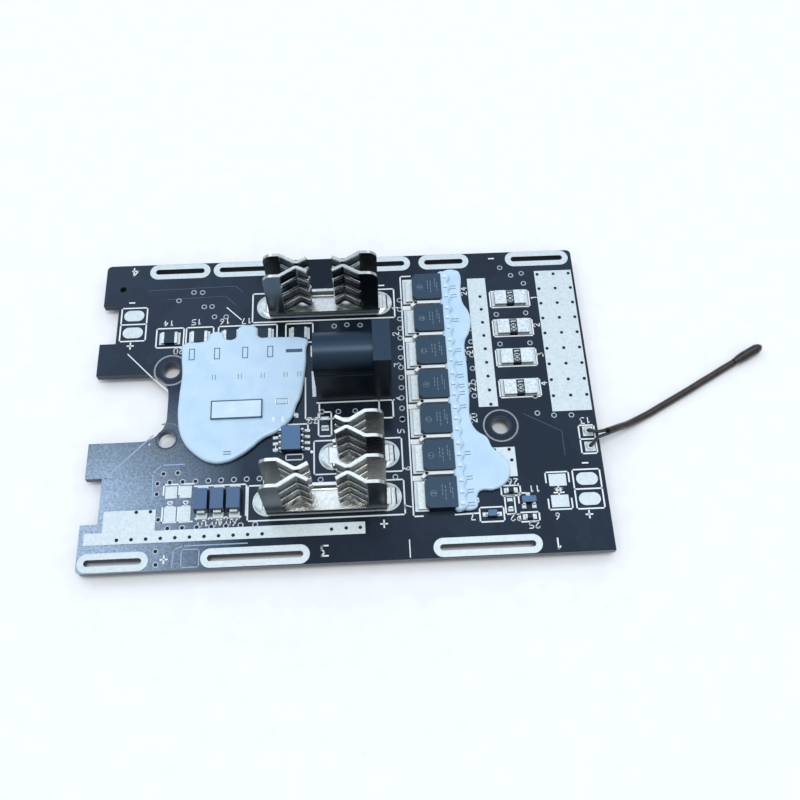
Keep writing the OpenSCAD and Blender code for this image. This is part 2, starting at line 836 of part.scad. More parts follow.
module chip_body(chip) {
    size = chip[3];
    translate([chip[0], chip[1], seat_z + size[2] / 2]) rotate(chip[2])
        cube([size[0] - 2 * size[3], size[1], size[2]], center = true);
}

module chip_caps(chip) {
    size = chip[3];
    translate([chip[0], chip[1], seat_z + size[2] / 2]) rotate(chip[2])
        for (s = [-1, 1])
            translate([s * (size[0] - size[3]) / 2, 0, 0])
                cube([size[3], size[1], size[2]], center = true);
}

module resistor_bodies() {
    color([0.13, 0.14, 0.17]) for (c = resistors) chip_body(c);
}

module capacitor_bodies() {
    color([0.62, 0.5, 0.38]) for (c = capacitors) chip_body(c);
}

module chip_end_caps() {
    color([0.85, 0.86, 0.87]) for (c = chips) chip_caps(c);
}

// ----------------------------------------------------- integrated circuits

// Six sided moulding with drafted long sides
module ic_body(ic) {
    translate([-ic[0] / 2, 0, 0]) rotate([90, 0, 90]) linear_extrude(ic[0])
        polygon([
            [-ic[1] / 2 + 0.15, 0.1], [ic[1] / 2 - 0.15, 0.1], [ic[1] / 2, ic[2] * 0.55],
            [ic[1] / 2 - 0.15, ic[2]], [-ic[1] / 2 + 0.15, ic[2]], [-ic[1] / 2, ic[2] * 0.55]
        ]);
}

module ic_leads(ic) {
    for (s = [0, 1], i = [0:ic[3] - 1])
        mirror([0, s, 0])
            translate([(i - (ic[3] - 1) / 2) * ic_pitch, ic[1] / 2, 0]) rotate(90)
                side_strip(
                    [
                        [0, ic[2] * 0.55], [0.35, ic[2] * 0.55],
                        [0.55, ic_lead_t / 2], [ic_reach, ic_lead_t / 2]
                    ],
                    ic_lead_t, ic_lead_w, 0.12
                );
}

module at_ic(at) {
    translate([at[0], at[1], seat_z]) rotate(at[2]) children();
}

module controller_body() {
    color([0.1, 0.11, 0.13]) at_ic(controller_at) ic_body(controller);
}

module controller_leads() {
    color([0.8, 0.82, 0.82]) at_ic(controller_at) ic_leads(controller);
}

module driver_body() {
    color([0.16, 0.2, 0.27]) at_ic(driver_at) ic_body(driver);
}

module driver_leads() {
    color([0.8, 0.82, 0.82]) at_ic(driver_at) ic_leads(driver);
}

// --------------------------------------------------------------- rectifiers

module rectifier_terminal_pair() {
    for (s = [0, 1]) mirror([0, s, 0])
        translate([0, rectifier[1] / 2, 0]) rotate(90)
            side_strip([[-0.2, 1.1], [0.25, 1.1], [0.25, 0.1], [-0.8, 0.1]], 0.2, 1.4, 0.12);
}

module rectifier_bodies() {
    color([0.16, 0.2, 0.28])
        for (x = rectifier_xs) translate([x, rectifier_y, seat_z]) difference() {
            translate([0, 0, 0.15])
                linear_extrude(rectifier[2] - 0.15, scale = 0.93)
                    square([rectifier[0], rectifier[1]], center = true);
            rectifier_terminal_pair();
        }
}

module rectifier_terminals() {
    color([0.8, 0.82, 0.82])
        for (x = rectifier_xs) translate([x, rectifier_y, seat_z]) rectifier_terminal_pair();
}

// -------------------------------------------------------- small signal parts

module moulding(size) {
    translate([0, 0, 0.1])
        linear_extrude(size[2] - 0.1, scale = 0.9) square([size[0], size[1]], center = true);
}

module diode_leads() {
    for (s = [0, 1]) mirror([s, 0, 0])
        translate([diode_size[0] / 2 - 0.05, 0, 0])
            side_strip([[0, 0.5], [0.25, 0.5], [0.35, 0.075], [0.8, 0.075]], 0.15, 0.4, 0.09);
}

module trio_leads() {
    for (s = [-1, 1])
        translate([s * 0.95, -trio_size[1] / 2 + 0.05, 0]) rotate(-90)
            side_strip([[0, 0.5], [0.25, 0.5], [0.35, 0.075], [0.8, 0.075]], 0.15, 0.4, 0.09);
    translate([0, trio_size[1] / 2 - 0.05, 0]) rotate(90)
        side_strip([[0, 0.5], [0.25, 0.5], [0.35, 0.075], [0.8, 0.075]], 0.15, 0.4, 0.09);
}

module diode_pads() {
    for (s = [-1, 1]) pad(diode_at[0] + s * 1.35, diode_at[1], 0.9, 0.8);
}

module trio_pads() {
    for (s = [-1, 1]) pad(trio_at[0] + s * 0.95, trio_at[1] - 1.1, 0.8, 0.9);
    pad(trio_at[0], trio_at[1] + 1.1, 0.8, 0.9);
}

module small_signal_bodies() {
    color([0.12, 0.14, 0.18]) {
        at_ic(diode_at) difference() {
            moulding(diode_size);
            diode_leads();
        }
        at_ic(trio_at) difference() {
            moulding(trio_size);
            trio_leads();
        }
    }
}

module small_signal_leads() {
    color([0.8, 0.82, 0.82]) {
        at_ic(diode_at) diode_leads();
        at_ic(trio_at) trio_leads();
    }
}

// ------------------------------------------------------------- gel coatings

// A flat drop over round spots [x, y, r], in steps of [height, inset]
module gel_drop(spots, steps) {
    hull()
        for (step = steps, s = spots)
            translate([s[0], s[1], seat_z + step[0]])
                cylinder(h = 0.05, r = s[2] - step[1], $fn = 28);
}

// Room for what stands under the coatings
module chip_cavity(chip) {
    size = chip[3];
    translate([chip[0], chip[1], seat_z]) rotate(chip[2])
        cube([size[0], size[1], 2 * size[2]] + 2 * gel_gap * [1, 1, 1], center = true);
}

module ic_cavity(at, ic) {
    at_ic(at) {
        cube([ic[0], ic[1], 2 * ic[2]] + 2 * gel_gap * [1, 1, 1], center = true);
        cube(
            [(ic[3] - 1) * ic_pitch + ic_lead_w, ic[1] + 2 * ic_reach, ic[2] * 1.1 + ic_lead_t]
            + 2 * gel_gap * [1, 1, 1],
            center = true
        );
    }
}

module fet_cavity(i) {
    at_fet(i) {
        translate([fet_l / 2, 0, 0])
            cube([fet_l, fet_w, 2 * fet_h] + 2 * gel_gap * [1, 1, 1], center = true);
        for (s = [-1, 1]) translate([fet_l, s * fet_lead_pitch, 0]) {
            cube([4, fet_lead_w + 2 * gel_gap, 3 + fet_frame_t / 2], center = true);
            cube([2 * (fet_lead_out + gel_gap), fet_lead_w + 2 * gel_gap, 1.3], center = true);
        }
        translate([fet_l, 0, 0]) cube([2, fet_lead_w + 2 * gel_gap, 3 + fet_frame_t / 2], center = true);
    }
}

controller_spots = [
    [px(-29.8), py(11.6), 2.3], [px(-9.4), py(11.9), 2.2], [px(-9.9), py(3), 2.2],
    [px(-12.6), py(-4.3), 2.2], [px(-24.9), py(-8.4), 4.6], [px(-28.5), py(-4.8), 3.4]
];

module controller_coating() {
    color([0.72, 0.84, 0.94, 0.7])
        difference() {
            gel_drop(controller_spots, [[0, 0], [gel_h * 0.45, 0.25], [gel_h * 0.8, 0.9], [gel_h - 0.05, 2]]);
            for (c = chips) chip_cavity(c);
            ic_cavity(controller_at, controller);
            ic_cavity(driver_at, driver);
        }
}

gate_x = fet_x + fet_l;
fet_last_y = fet_first_y - (fet_n - 1) * fet_pitch;

module gate_coating() {
    color([0.78, 0.88, 0.95, 0.7])
        difference() {
            union() {
                rotate([90, 0, 0])
                    translate([0, seat_z, -fet_first_y - 4.2])
                        linear_extrude(fet_first_y - fet_last_y + 7.8)
                            polygon([
                                [gate_x - 0.15, 0], [gate_x + 4.4, 0], [gate_x + 4.2, 0.6],
                                [gate_x + 3.6, 0.9], [gate_x + 1.6, 1.7], [gate_x - 0.15, 1.8]
                            ]);
                gel_drop(
                    [[gate_x + 1.5, py(17), 4], [gate_x + 1.5, py(13.5), 3.6]],
                    [[0, 0], [0.5, 0.4], [0.9, 2]]
                );
                gel_drop(
                    [[gate_x + 5.6, py(-15.8), 4.5], [gate_x + 5.2, py(-13.2), 4.5]],
                    [[0, 0], [blob_h * 0.35, 0.3], [blob_h * 0.75, 1.4], [blob_h - 0.05, 3]]
                );
            }
            for (c = gate_resistors) chip_cavity(c);
            for (i = [0:fet_n - 1]) fet_cavity(i);
        }
}

// ------------------------------------------------------- temperature sensor

wire_r = wire_d / 2;
sleeve_r = sleeve_d / 2;
sleeve_start = sleeve_path[0];
sleeve_dir = unit(sleeve_path[1] - sleeve_start);
sleeve_side = unit([-sleeve_dir.y, sleeve_dir.x, 0]) * (wire_d / 2 + 0.07);

// Route of one wire, s = 1 the rear and -1 the front one: up out of its hole,
// over the board's edge and into the sleeve's end
function wire_line(s) =
    let (
        y0 = s > 0 ? sensor_ys[0] : sensor_ys[1],
        z = seat_z + wire_r,
        end = sleeve_start + s * sleeve_side
    )
    [
        [sensor_xs, y0, 0.2], [sensor_xs, y0, z + 0.1], [sensor_xs + 0.15, y0 - s * 0.1, z + 0.4],
        [sensor_xs + 0.5, y0 - s * 0.3, z + 0.6], [half_l - 0.5, -10.5 + s * 0.55, z + 0.65],
        end - 0.8 * sleeve_dir, end
    ];

module sensor_wires() {
    color([0.12, 0.12, 0.13]) for (s = [-1, 1]) tube(wire_line(s), wire_d);
}

module sensor_sleeve() {
    color([0.2, 0.12, 0.07]) tube(sleeve_path, sleeve_d);
}

// Drop shaped bead in line with the sleeve's end
module sensor_bead() {
    last = sleeve_path[len(sleeve_path) - 1];
    before = sleeve_path[len(sleeve_path) - 2];
    color([0.13, 0.08, 0.05])
        translate([last.x, last.y, 0]) rotate(atan2(last.y - before.y, last.x - before.x))
            translate([0, 0, bead_d / 2]) rotate([0, 90, 0]) rotate_extrude()
                polygon([
                    [0, 0], [sleeve_r * 0.9, 0], [bead_d / 2 - 0.1, 1.4], [bead_d / 2, 2.6],
                    [bead_d / 2, bead_l - 1.6], [bead_d / 2 - 0.2, bead_l - 0.8],
                    [bead_d / 2 - 0.6, bead_l - 0.2], [0, bead_l]
                ]);
}

module sensor_solder() {
    color([0.8, 0.82, 0.84])
        for (y = sensor_ys) translate([sensor_xs, y, seat_z]) difference() {
            cylinder(h = 0.4, r1 = 0.9, r2 = 0.55);
            translate([0, 0, -1]) cylinder(h = 3, d = wire_d);
        }
}

circuit_board();
weld_slot_plating();
tinned_lands();
solder_lands();
contact_negative();
contact_positive_long();
contact_positive_short();
contact_solder();
underside_solder();
jack_housing();
jack_centre_pin();
jack_sleeve_spring();
jack_switch_blade();
transistor_body(0);  // transistor_body_1
transistor_body(1);  // transistor_body_2
transistor_body(2);  // transistor_body_3
transistor_body(3);  // transistor_body_4
transistor_body(4);  // transistor_body_5
transistor_body(5);  // transistor_body_6
transistor_body(6);  // transistor_body_7
transistor_frame(0);  // transistor_frame_1
transistor_frame(1);  // transistor_frame_2
transistor_frame(2);  // transistor_frame_3
transistor_frame(3);  // transistor_frame_4
transistor_frame(4);  // transistor_frame_5
transistor_frame(5);  // transistor_frame_6
transistor_frame(6);  // transistor_frame_7
shunt_core(0);  // shunt_core_1
shunt_core(1);  // shunt_core_2
shunt_core(2);  // shunt_core_3
shunt_core(3);  // shunt_core_4
shunt_ends(0);  // shunt_ends_1
shunt_ends(1);  // shunt_ends_2
shunt_ends(2);  // shunt_ends_3
shunt_ends(3);  // shunt_ends_4
resistor_bodies();
capacitor_bodies();
chip_end_caps();
controller_body();
controller_leads();
driver_body();
driver_leads();
rectifier_bodies();
rectifier_terminals();
small_signal_bodies();
small_signal_leads();
controller_coating();
gate_coating();
sensor_wires();
sensor_sleeve();
sensor_bead();
sensor_solder();
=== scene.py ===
"""Looks of a battery management board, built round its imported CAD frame.

Every size is in millimetres from the middle of the board's top face unless a
name says otherwise, and is turned to metres where a mesh is made.
"""

import json
import logging
import math
from dataclasses import dataclass
from enum import Enum
from typing import Iterable, Sequence

import bpy
from mathutils import Matrix, Vector

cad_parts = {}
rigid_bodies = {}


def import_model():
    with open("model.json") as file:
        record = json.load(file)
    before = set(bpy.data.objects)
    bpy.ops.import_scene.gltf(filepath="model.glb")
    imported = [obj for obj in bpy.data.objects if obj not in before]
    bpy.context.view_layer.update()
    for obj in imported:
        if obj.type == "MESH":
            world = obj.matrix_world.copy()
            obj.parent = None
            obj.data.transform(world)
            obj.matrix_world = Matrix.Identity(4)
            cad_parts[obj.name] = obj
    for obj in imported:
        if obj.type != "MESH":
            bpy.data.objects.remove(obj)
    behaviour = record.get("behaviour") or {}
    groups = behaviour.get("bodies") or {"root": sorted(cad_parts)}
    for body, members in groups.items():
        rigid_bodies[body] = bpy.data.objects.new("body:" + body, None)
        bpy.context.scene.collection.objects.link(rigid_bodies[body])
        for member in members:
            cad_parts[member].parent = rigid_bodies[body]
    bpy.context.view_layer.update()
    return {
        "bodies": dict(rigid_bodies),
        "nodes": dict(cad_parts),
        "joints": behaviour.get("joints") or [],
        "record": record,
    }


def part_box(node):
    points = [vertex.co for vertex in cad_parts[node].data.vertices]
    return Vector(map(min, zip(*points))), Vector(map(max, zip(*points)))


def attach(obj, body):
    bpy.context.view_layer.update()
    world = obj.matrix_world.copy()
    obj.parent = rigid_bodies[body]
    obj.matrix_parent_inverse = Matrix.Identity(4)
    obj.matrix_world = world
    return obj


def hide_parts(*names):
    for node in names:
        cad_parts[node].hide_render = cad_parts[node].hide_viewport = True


MM = 0.001
ROOT = "root"
log = logging.getLogger("battery_board")

Point = tuple[float, float]
Place = tuple[float, float, float]
Spots = list[Point]
Tree = bpy.types.NodeTree
Socket = bpy.types.NodeSocket

# A Mix node's setting for colours
RGBA = {"data_type": "RGBA"}
# Materials made so far, by the finish's name
MADE: dict[str, bpy.types.Material] = {}


# ---- small helpers


def linear(hex_colour: str, alpha: float = 1.0) -> tuple[float, float, float, float]:
    """Turns an sRGB hex colour into Blender's linear one.

    Args:
        hex_colour: Six hex digits after a hash.
        alpha: Opacity of the colour.

    Returns:
        Linear red, green and blue, and the alpha.
    """
    digits = hex_colour.lstrip("#")
    parts = [int(digits[i : i + 2], 16) / 255 for i in (0, 2, 4)]
    flat = [c / 12.92 if c <= 0.04045 else ((c + 0.055) / 1.055) ** 2.4 for c in parts]
    return (flat[0], flat[1], flat[2], alpha)


def put(
    tree: Tree,
    kind: str,
    links: dict[object, object] | None = None,
    settings: dict[str, object] | None = None,
    stops: Sequence[tuple[float, str]] = (),
) -> bpy.types.bpy_prop_collection:
    """Adds one shader node with its settings, values and links.

    Args:
        tree: The node tree of a material or of the world.
        kind: Blender's name for the node type, without ShaderNode before it.
        links: Values or sockets for the node's inputs, by name or place.
        settings: Attributes of the node, by name.
        stops: Place and hex colour of each stop of a colour ramp, in order.

    Returns:
        The new node's outputs.
    """
    node = tree.nodes.new("ShaderNode" + kind)
    for key, value in (settings or {}).items():
        setattr(node, key, value)
    for key, value in (links or {}).items():
        if isinstance(value, Socket):
            tree.links.new(value, node.inputs[key])
        else:
            node.inputs[key].default_value = value
    if stops:
        elements = node.color_ramp.elements
        while len(elements) < len(stops):
            elements.new(0.5)
        for element, (place, colour) in zip(elements, stops):
            element.position = place
            element.color = linear(colour)
    return node.outputs


def deselect() -> None:
    """Leaves nothing selected, out of edit mode."""
    if bpy.context.object is not None and bpy.context.object.mode != "OBJECT":
        bpy.ops.object.mode_set(mode="OBJECT")
    bpy.ops.object.select_all(action="DESELECT")


# ---- finishes


@dataclass(frozen=True)
class Finish:
    """A plain dielectric or metal surface with grain in its colour, gloss and relief.

    grain_mm is the size of the grain and relief_mm the height of its bumps. The
    colour wanders between base and dark.
    """

    name: str
    base: str
    dark: str
    metallic: float = 0.0
    roughness: float = 0.5
    spread: float = 0.08
    grain_mm: float = 0.6
    relief_mm: float = 0.01
    detail: float = 3.0

    def grain(self, tree: Tree) -> Socket:
        """Returns a noise of the finish's grain size on object coordinates."""
        place = put(tree, "TexCoord")["Object"]
        scale = 1 / (self.grain_mm * MM)
        return put(
            tree, "TexNoise", {"Vector": place, "Scale": scale, "Detail": self.detail}
        )["Fac"]

    def colour(self, tree: Tree, grain: Socket) -> Socket:
        """Returns the surface colour that the grain gives."""
        stops = ((0.3, self.dark), (0.62, self.base))
        return put(tree, "ValToRGB", {"Fac": grain}, stops=stops)["Color"]

    def extras(self) -> dict[str, object]:
        """Returns what else the shader needs; a plain finish needs nothing."""
        return {}

    def build(self) -> bpy.types.Material:
        """Makes the material.

        Returns:
            The finished material.
        """
        material = bpy.data.materials.new(self.name)
        material.use_nodes = True
        tree = material.node_tree
        tree.nodes.clear()
        grain = self.grain(tree)
        low, high = max(0.02, self.roughness - self.spread), self.roughness + self.spread
        gloss = put(tree, "MapRange", {"Value": grain, "To Min": low, "To Max": high})["Result"]
        relief = put(
            tree, "Bump", {"Height": grain, "Distance": self.relief_mm * MM, "Strength": 1.0}
        )["Normal"]
        shader = put(tree, "BsdfPrincipled", {
            "Base Color": self.colour(tree, grain), "Metallic": self.metallic,
            "Roughness": gloss, "Normal": relief, **self.extras(),
        })
        put(tree, "OutputMaterial", {"Surface": shader["BSDF"]})
        return material

    def material(self) -> bpy.types.Material:
        """Returns the material, made on first use."""
        if self.name not in MADE:
            MADE[self.name] = self.build()
        return MADE[self.name]

    def dress(self, piece: bpy.types.Object) -> None:
        """Gives a piece this material all over."""
        piece.data.materials.clear()
        piece.data.materials.append(self.material())


@dataclass(frozen=True)
class SolderMask(Finish):
    """Glossy dark mask over copper: the copper's areas show as slightly lighter
    plates with angled borders, and the cut sides show the bare laminate.

    A painted reflection of the light sky, pale blue and flecked, lies on it over its x and y
    ranges, from none to all.
    """

    copper: str = "#192430"
    laminate: str = "#20252b"
    haze: str = "#b4cbe2"
    cast: str = "#c6dcf6"
    ior: float = 1.42
    area_mm: float = 9.0
    track_mm: float = 1.6
    track_share: float = 0.35
    fleck_mm: float = 0.4
    haze_x_mm: Point = (-19.0, -45.0)
    haze_y_mm: Point = (4.0, -18.0)

    def haze_share(self, tree: Tree, place: Socket) -> Socket:
        """Returns how much painted reflection lies on the mask: most at the lower left tabs."""
        axes = put(tree, "SeparateXYZ", {"Vector": place})
        scale = 1 / (self.fleck_mm * MM)
        flecks = put(tree, "TexNoise", {"Vector": place, "Scale": scale, "Detail": 4.0})["Fac"]
        (x0, x1), (y0, y1) = self.haze_x_mm, self.haze_y_mm
        share: object = 1.0
        for value, start, end, least in (
            (axes["X"], x0 * MM, x1 * MM, 0.0), (axes["Y"], y0 * MM, y1 * MM, 0.0),
            (flecks, 0.3, 0.7, 0.5),
        ):
            part = put(
                tree, "MapRange",
                {"Value": value, "From Min": start, "From Max": end, "To Min": least},
            )["Result"]
            share = put(tree, "Math", {0: share, 1: part}, {"operation": "MULTIPLY"})["Value"]
        return share

    def extras(self) -> dict[str, object]:
        """Returns the strength of the mask's gloss and its blue cast."""
        return {"Specular Tint": linear(self.cast), "IOR": self.ior}

    def colour(self, tree: Tree, grain: Socket) -> Socket:
        """Returns the mask's colour on the faces and the laminate's on the sides."""
        where = put(tree, "TexCoord")
        tones = []
        for size in (self.area_mm, self.track_mm):
            cells = put(
                tree, "TexVoronoi",
                {"Vector": where["Object"], "Scale": 1 / (size * MM), "Randomness": 0.8},
                {"distance": "MANHATTAN"},
            )["Color"]
            tones.append(put(tree, "SeparateColor", {"Color": cells})["Red"])
        blend = put(
            tree, "Math", {0: tones[1], 1: self.track_share, 2: tones[0]},
            {"operation": "MULTIPLY_ADD"},
        )["Value"]
        stops = ((0.35, self.dark), (0.75, self.base), (1.0, self.copper))
        clear = put(tree, "ValToRGB", {"Fac": blend}, stops=stops)["Color"]
        # Painted reflection: pale blue mixed over the mask's faces towards the lower left
        share = self.haze_share(tree, where["Object"])
        faces = put(
            tree, "Mix", {"Factor": share, "A": clear, "B": linear(self.haze)}, RGBA
        )["Result"]
        stops = ((0.35, self.dark), (0.7, self.laminate))
        sides = put(tree, "ValToRGB", {"Fac": grain}, stops=stops)["Color"]
        rise = put(tree, "SeparateXYZ", {"Vector": where["Normal"]})["Z"]
        level = put(tree, "Math", {0: rise}, {"operation": "ABSOLUTE"})["Value"]
        flat = put(tree, "Math", {0: level, 1: 0.5}, {"operation": "GREATER_THAN"})["Value"]
        return put(tree, "Mix", {"Factor": flat, "A": sides, "B": faces}, RGBA)["Result"]


@dataclass(frozen=True)
class Gel(Finish):
    """Cured silicone gel: milky and glossy, with a little light inside it."""

    glow: float = 0.3
    depth_mm: float = 0.5
    ior: float = 1.41

    def extras(self) -> dict[str, object]:
        """Returns how light goes into the gel."""
        return {
            "Subsurface Weight": self.glow, "Subsurface Radius": (1.0, 1.0, 1.0),
            "Subsurface Scale": self.depth_mm * MM, "IOR": self.ior,
        }


@dataclass(frozen=True)
class Lacquered(Finish):
    """A moulding or sleeve with a smooth skin that gives a sharper highlight."""

    coat: float = 0.4
    coat_roughness: float = 0.15

    def extras(self) -> dict[str, object]:
        """Returns the clear skin."""
        return {"Coat Weight": self.coat, "Coat Roughness": self.coat_roughness}


@dataclass(frozen=True)
class Faced(Finish):
    """A finish that shows one colour on top and another on its standing walls, where the walls get
    painted shade.
    """

    wall: str = "#2c2f31"
    wall_z: float = 0.45
    top_z: float = 0.75

    def standing(self, tree: Tree) -> object:
        """Returns the painted shade colour of the standing walls."""
        return linear(self.wall)

    def colour(self, tree: Tree, grain: Socket) -> Socket:
        """Returns the top's colour, or the wall's painted shade where the surface stands up."""
        normal = put(tree, "TexCoord")["Normal"]
        rise = put(tree, "SeparateXYZ", {"Vector": normal})["Z"]
        up = put(
            tree, "MapRange", {"Value": rise, "From Min": self.wall_z, "From Max": self.top_z}
        )["Result"]
        sides = {"Factor": up, "A": self.standing(tree), "B": super().colour(tree, grain)}
        return put(tree, "Mix", sides, RGBA)["Result"]


@dataclass(frozen=True)
class SlitSheet(Faced):
    """Tinned sheet whose spring fingers get a painted highlight along their upper edges
    and painted shade above the slits, where they stand in each other's shade.

    fork_mm, curb_mm and fingers are the contact's height, the height of the low
    wall under its fingers and the number of fingers one over another.
    """

    rubbed: str = "#ffffff"
    shade: str = "#0c0e10"
    fork_mm: float = 15.0
    curb_mm: float = 2.0
    fingers: int = 4

    def standing(self, tree: Tree) -> Socket:
        """Returns the walls' colour, banded with painted highlight and painted shade where the
        fingers slope.
        """
        where = put(tree, "TexCoord")
        pitch = (self.fork_mm - self.curb_mm) / self.fingers * MM
        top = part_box("contact_negative")[1][2]
        rise = put(tree, "SeparateXYZ", {"Vector": where["Object"]})["Z"]
        depth = put(
            tree, "Math", {0: rise, 1: -1 / pitch, 2: top / pitch}, {"operation": "MULTIPLY_ADD"}
        )["Value"]
        share = put(tree, "Math", {0: depth}, {"operation": "FRACT"})["Value"]
        # Painted highlight at each finger's upper edge, painted shade just above each slit
        stops = (
            (0.0, self.rubbed), (0.13, self.rubbed), (0.17, self.wall), (0.5, self.wall),
            (0.62, self.shade),
        )
        bands = put(tree, "ValToRGB", {"Fac": share}, stops=stops)["Color"]
        across = put(tree, "SeparateXYZ", {"Vector": where["Normal"]})["X"]
        slope = put(tree, "Math", {0: across}, {"operation": "ABSOLUTE"})["Value"]
        finger = put(tree, "MapRange", {"Value": slope, "From Min": 0.15, "From Max": 0.3})
        return put(
            tree, "Mix", {"Factor": finger["Result"], "A": linear(self.wall), "B": bands}, RGBA
        )["Result"]


@dataclass(frozen=True)
class Moulding(Faced):
    """A dark moulding: its top lies dull under the light, its walls are painted black as shade."""

    cast: str = "#c3dcf5"

    def extras(self) -> dict[str, object]:
        """Returns the blue cast of the gloss."""
        return {"Specular Tint": linear(self.cast)}


FINISHES: dict[str, Finish] = {
    # Photo imaged solder mask on fibre glass laminate: deep blue black and glossy
    "laminate": SolderMask(
        "solder_mask", "#16202c", "#121a25", roughness=0.17, spread=0.05,
        grain_mm=0.35, relief_mm=0.001,
    ),
    # Hot levelled tin: bright, with soft waves where the solder froze; its walls painted dark as
    # shade, as in the slots
    "tin_plate": Faced(
        "levelled_tin", "#d3dfe2", "#c3d1d6", 0.2, 0.42, 0.1, grain_mm=0.5, wall="#25282a"
    ),
    # Rolled brass sheet, tin plated: bright cut edges, faces painted darker as shade, fingers
    # banded with painted highlight and painted shade
    "contact_sheet": SlitSheet(
        "tinned_brass_sheet", "#d6d8d4", "#c8cbc7", 1.0, 0.24, 0.03, grain_mm=0.8,
        relief_mm=0.0005, wall="#666c6f",
    ),
    # Flowed solder on the pads: pale and smooth
    "solder": Finish(
        "flowed_solder", "#dde8e8", "#bccbce", 0.35, 0.3, 0.06, grain_mm=0.9, relief_mm=0.04
    ),
    # Injection moulded nylon of the socket: black, satin, fine grained; its blue top is partly
    # painted reflection of the sky, its walls painted black as shade
    "socket_plastic": Moulding(
        "moulded_nylon", "#1b3042", "#172a3a", roughness=0.36, grain_mm=0.25,
        relief_mm=0.002, wall="#020610", wall_z=0.3, top_z=1.0,
    ),
    # Nickel plated brass strip and pin
    "socket_metal": Finish(
        "nickel_plate", "#cfccc2", "#a8a498", 1.0, 0.22, 0.06, grain_mm=0.4, relief_mm=0.004
    ),
    # Epoxy moulding compound: matt, blue black, with a fine sparkle; its walls painted black as
    # shade
    "transistor_moulding": Moulding(
        "epoxy_moulding", "#2f4456", "#25384a", roughness=0.45, grain_mm=0.12,
        relief_mm=0.003, wall="#03070e",
    ),
    # Matt tin plated copper lead frame; its walls painted darker as shade
    "lead_frame": Faced(
        "matt_tin", "#dfe9ea", "#c6d2d5", 0.3, 0.38, 0.1, grain_mm=0.4, wall="#6f7a80"
    ),
    # Resistance strip under a dark coat; its walls painted black as shade
    "shunt_alloy": Moulding(
        "dark_coated_strip", "#333c43", "#22292e", roughness=0.42, grain_mm=0.2, wall="#0b0e11"
    ),
    # Tinned ends of chips, wetted with solder; their walls painted darker as shade
    "chip_ends": Faced(
        "wetted_tin", "#e0ebec", "#b9c6ca", 0.3, 0.35, 0.1, grain_mm=0.5, relief_mm=0.03,
        wall="#7f8b90",
    ),
    # Glazed top of a thick film resistor; its walls painted black as shade
    "resistor_ceramic": Moulding(
        "resistor_glaze", "#1d2836", "#131b26", roughness=0.25, grain_mm=0.3,
        relief_mm=0.003, wall="#06080c",
    ),
    # Fired ceramic of a chip capacitor: tan, slightly mottled
    "capacitor_ceramic": Finish(
        "fired_ceramic", "#a98d6c", "#8b7053", roughness=0.45, grain_mm=0.3, relief_mm=0.004
    ),
    # Epoxy of the integrated circuits; its walls painted dark as shade
    "chip_moulding": Moulding(
        "fine_epoxy", "#55779a", "#48698b", roughness=0.4, grain_mm=0.1, relief_mm=0.003,
        wall="#0a1220",
    ),
    # Epoxy of the rectifiers, smoother and greyer; its slate blue top is painted reflection of the
    # sky, its walls painted dark as shade
    "rectifier_moulding": Moulding(
        "smooth_epoxy", "#526c8c", "#435b79", roughness=0.3, grain_mm=0.15,
        relief_mm=0.003, wall="#16202f",
    ),
    # Silicone gel
    "gel": Gel(
        "silicone_gel", "#c6e0f2", "#bcd8ef", roughness=0.22, grain_mm=3.5, relief_mm=0.03
    ),
    # Extruded insulation of the sensor wires
    "wire_insulation": Lacquered(
        "extruded_insulation", "#26282b", "#121314", roughness=0.35, grain_mm=0.5
    ),
    # Heat shrunk sleeve: dark brown, glossy, with slight waves
    "sleeve": Lacquered(
        "shrink_sleeve", "#33261d", "#1a130e", roughness=0.3, grain_mm=1.5, relief_mm=0.05
    ),
    # Dipped resin bead
    "bead": Lacquered(
        "dipped_resin", "#2b2019", "#120c08", roughness=0.15, grain_mm=1.2, relief_mm=0.04
    ),
}

# Screen printed ink: white, matt, thinner where the mesh of the screen was
INK = Finish("screen_ink", "#f4fafa", "#dfe8ea", roughness=0.6, grain_mm=0.15)
# Rim of a plated hole under thin mask
VIA_RIM = Finish("masked_rim", "#b4c3cf", "#93a4b2", 0.2, 0.4, grain_mm=0.3)
# Painted shade for the depth of a plated hole, which the eye reads as black
HOLE_SHADE = Finish("painted_hole_shade", "#080a0d", "#040506", roughness=0.7, grain_mm=0.2)
# Edge of the copper under the mask, where the mask lies thin
RIDGE = Finish("mask_ridge", "#3d5167", "#31435a", roughness=0.3, grain_mm=0.3)
# The same edge under the painted reflection of the lower left tabs
SHEENED_RIDGE = Finish("sheened_ridge", "#9db8d6", "#83a1c4", grain_mm=0.3)
# Thin gel over the controller's top
SKIN = Finish("gel_skin", "#cfe6f6", "#c5def2", roughness=0.25, grain_mm=3.0)
# Laser print on mouldings: pale grey on the dark skin
LASER = Finish("laser_print", "#7f95a8", "#60768a", roughness=0.7, grain_mm=0.2)
# Outlines of what lies in the gel, deep blue through it; also the painted shade beside the lead
# bumps
SUNK_AND_SHADE = Finish("sunk_outline", "#35597a", "#24435f", roughness=0.3, grain_mm=0.4)
# Milky places in the gel, where it stands on leads, and the painted highlights on the lead bumps
MILK_AND_HIGHLIGHT = Finish("milky_gel_and_highlight", "#eaf6fc", "#d5e8f3", roughness=0.2, grain_mm=0.6)
# Paper sweep under the part
PAPER = Finish("paper_sweep", "#fbfcfd", "#f6f8fa", roughness=0.9, grain_mm=4.0)


def dress_nodes(frame: dict) -> None:
    """Gives every CAD node the finish of its record slot.
    """
    for part in frame["record"]["subparts"]:
        node = frame["nodes"][part["node"]]
        finish = FINISHES[part["material_slot"]]
        for slot in node.material_slots:
            slot.material = finish.material()
        if not node.material_slots:
            node.data.materials.append(finish.material())
        log.info("%s wears %s", part["node"], finish.name)


# ---- print and plating


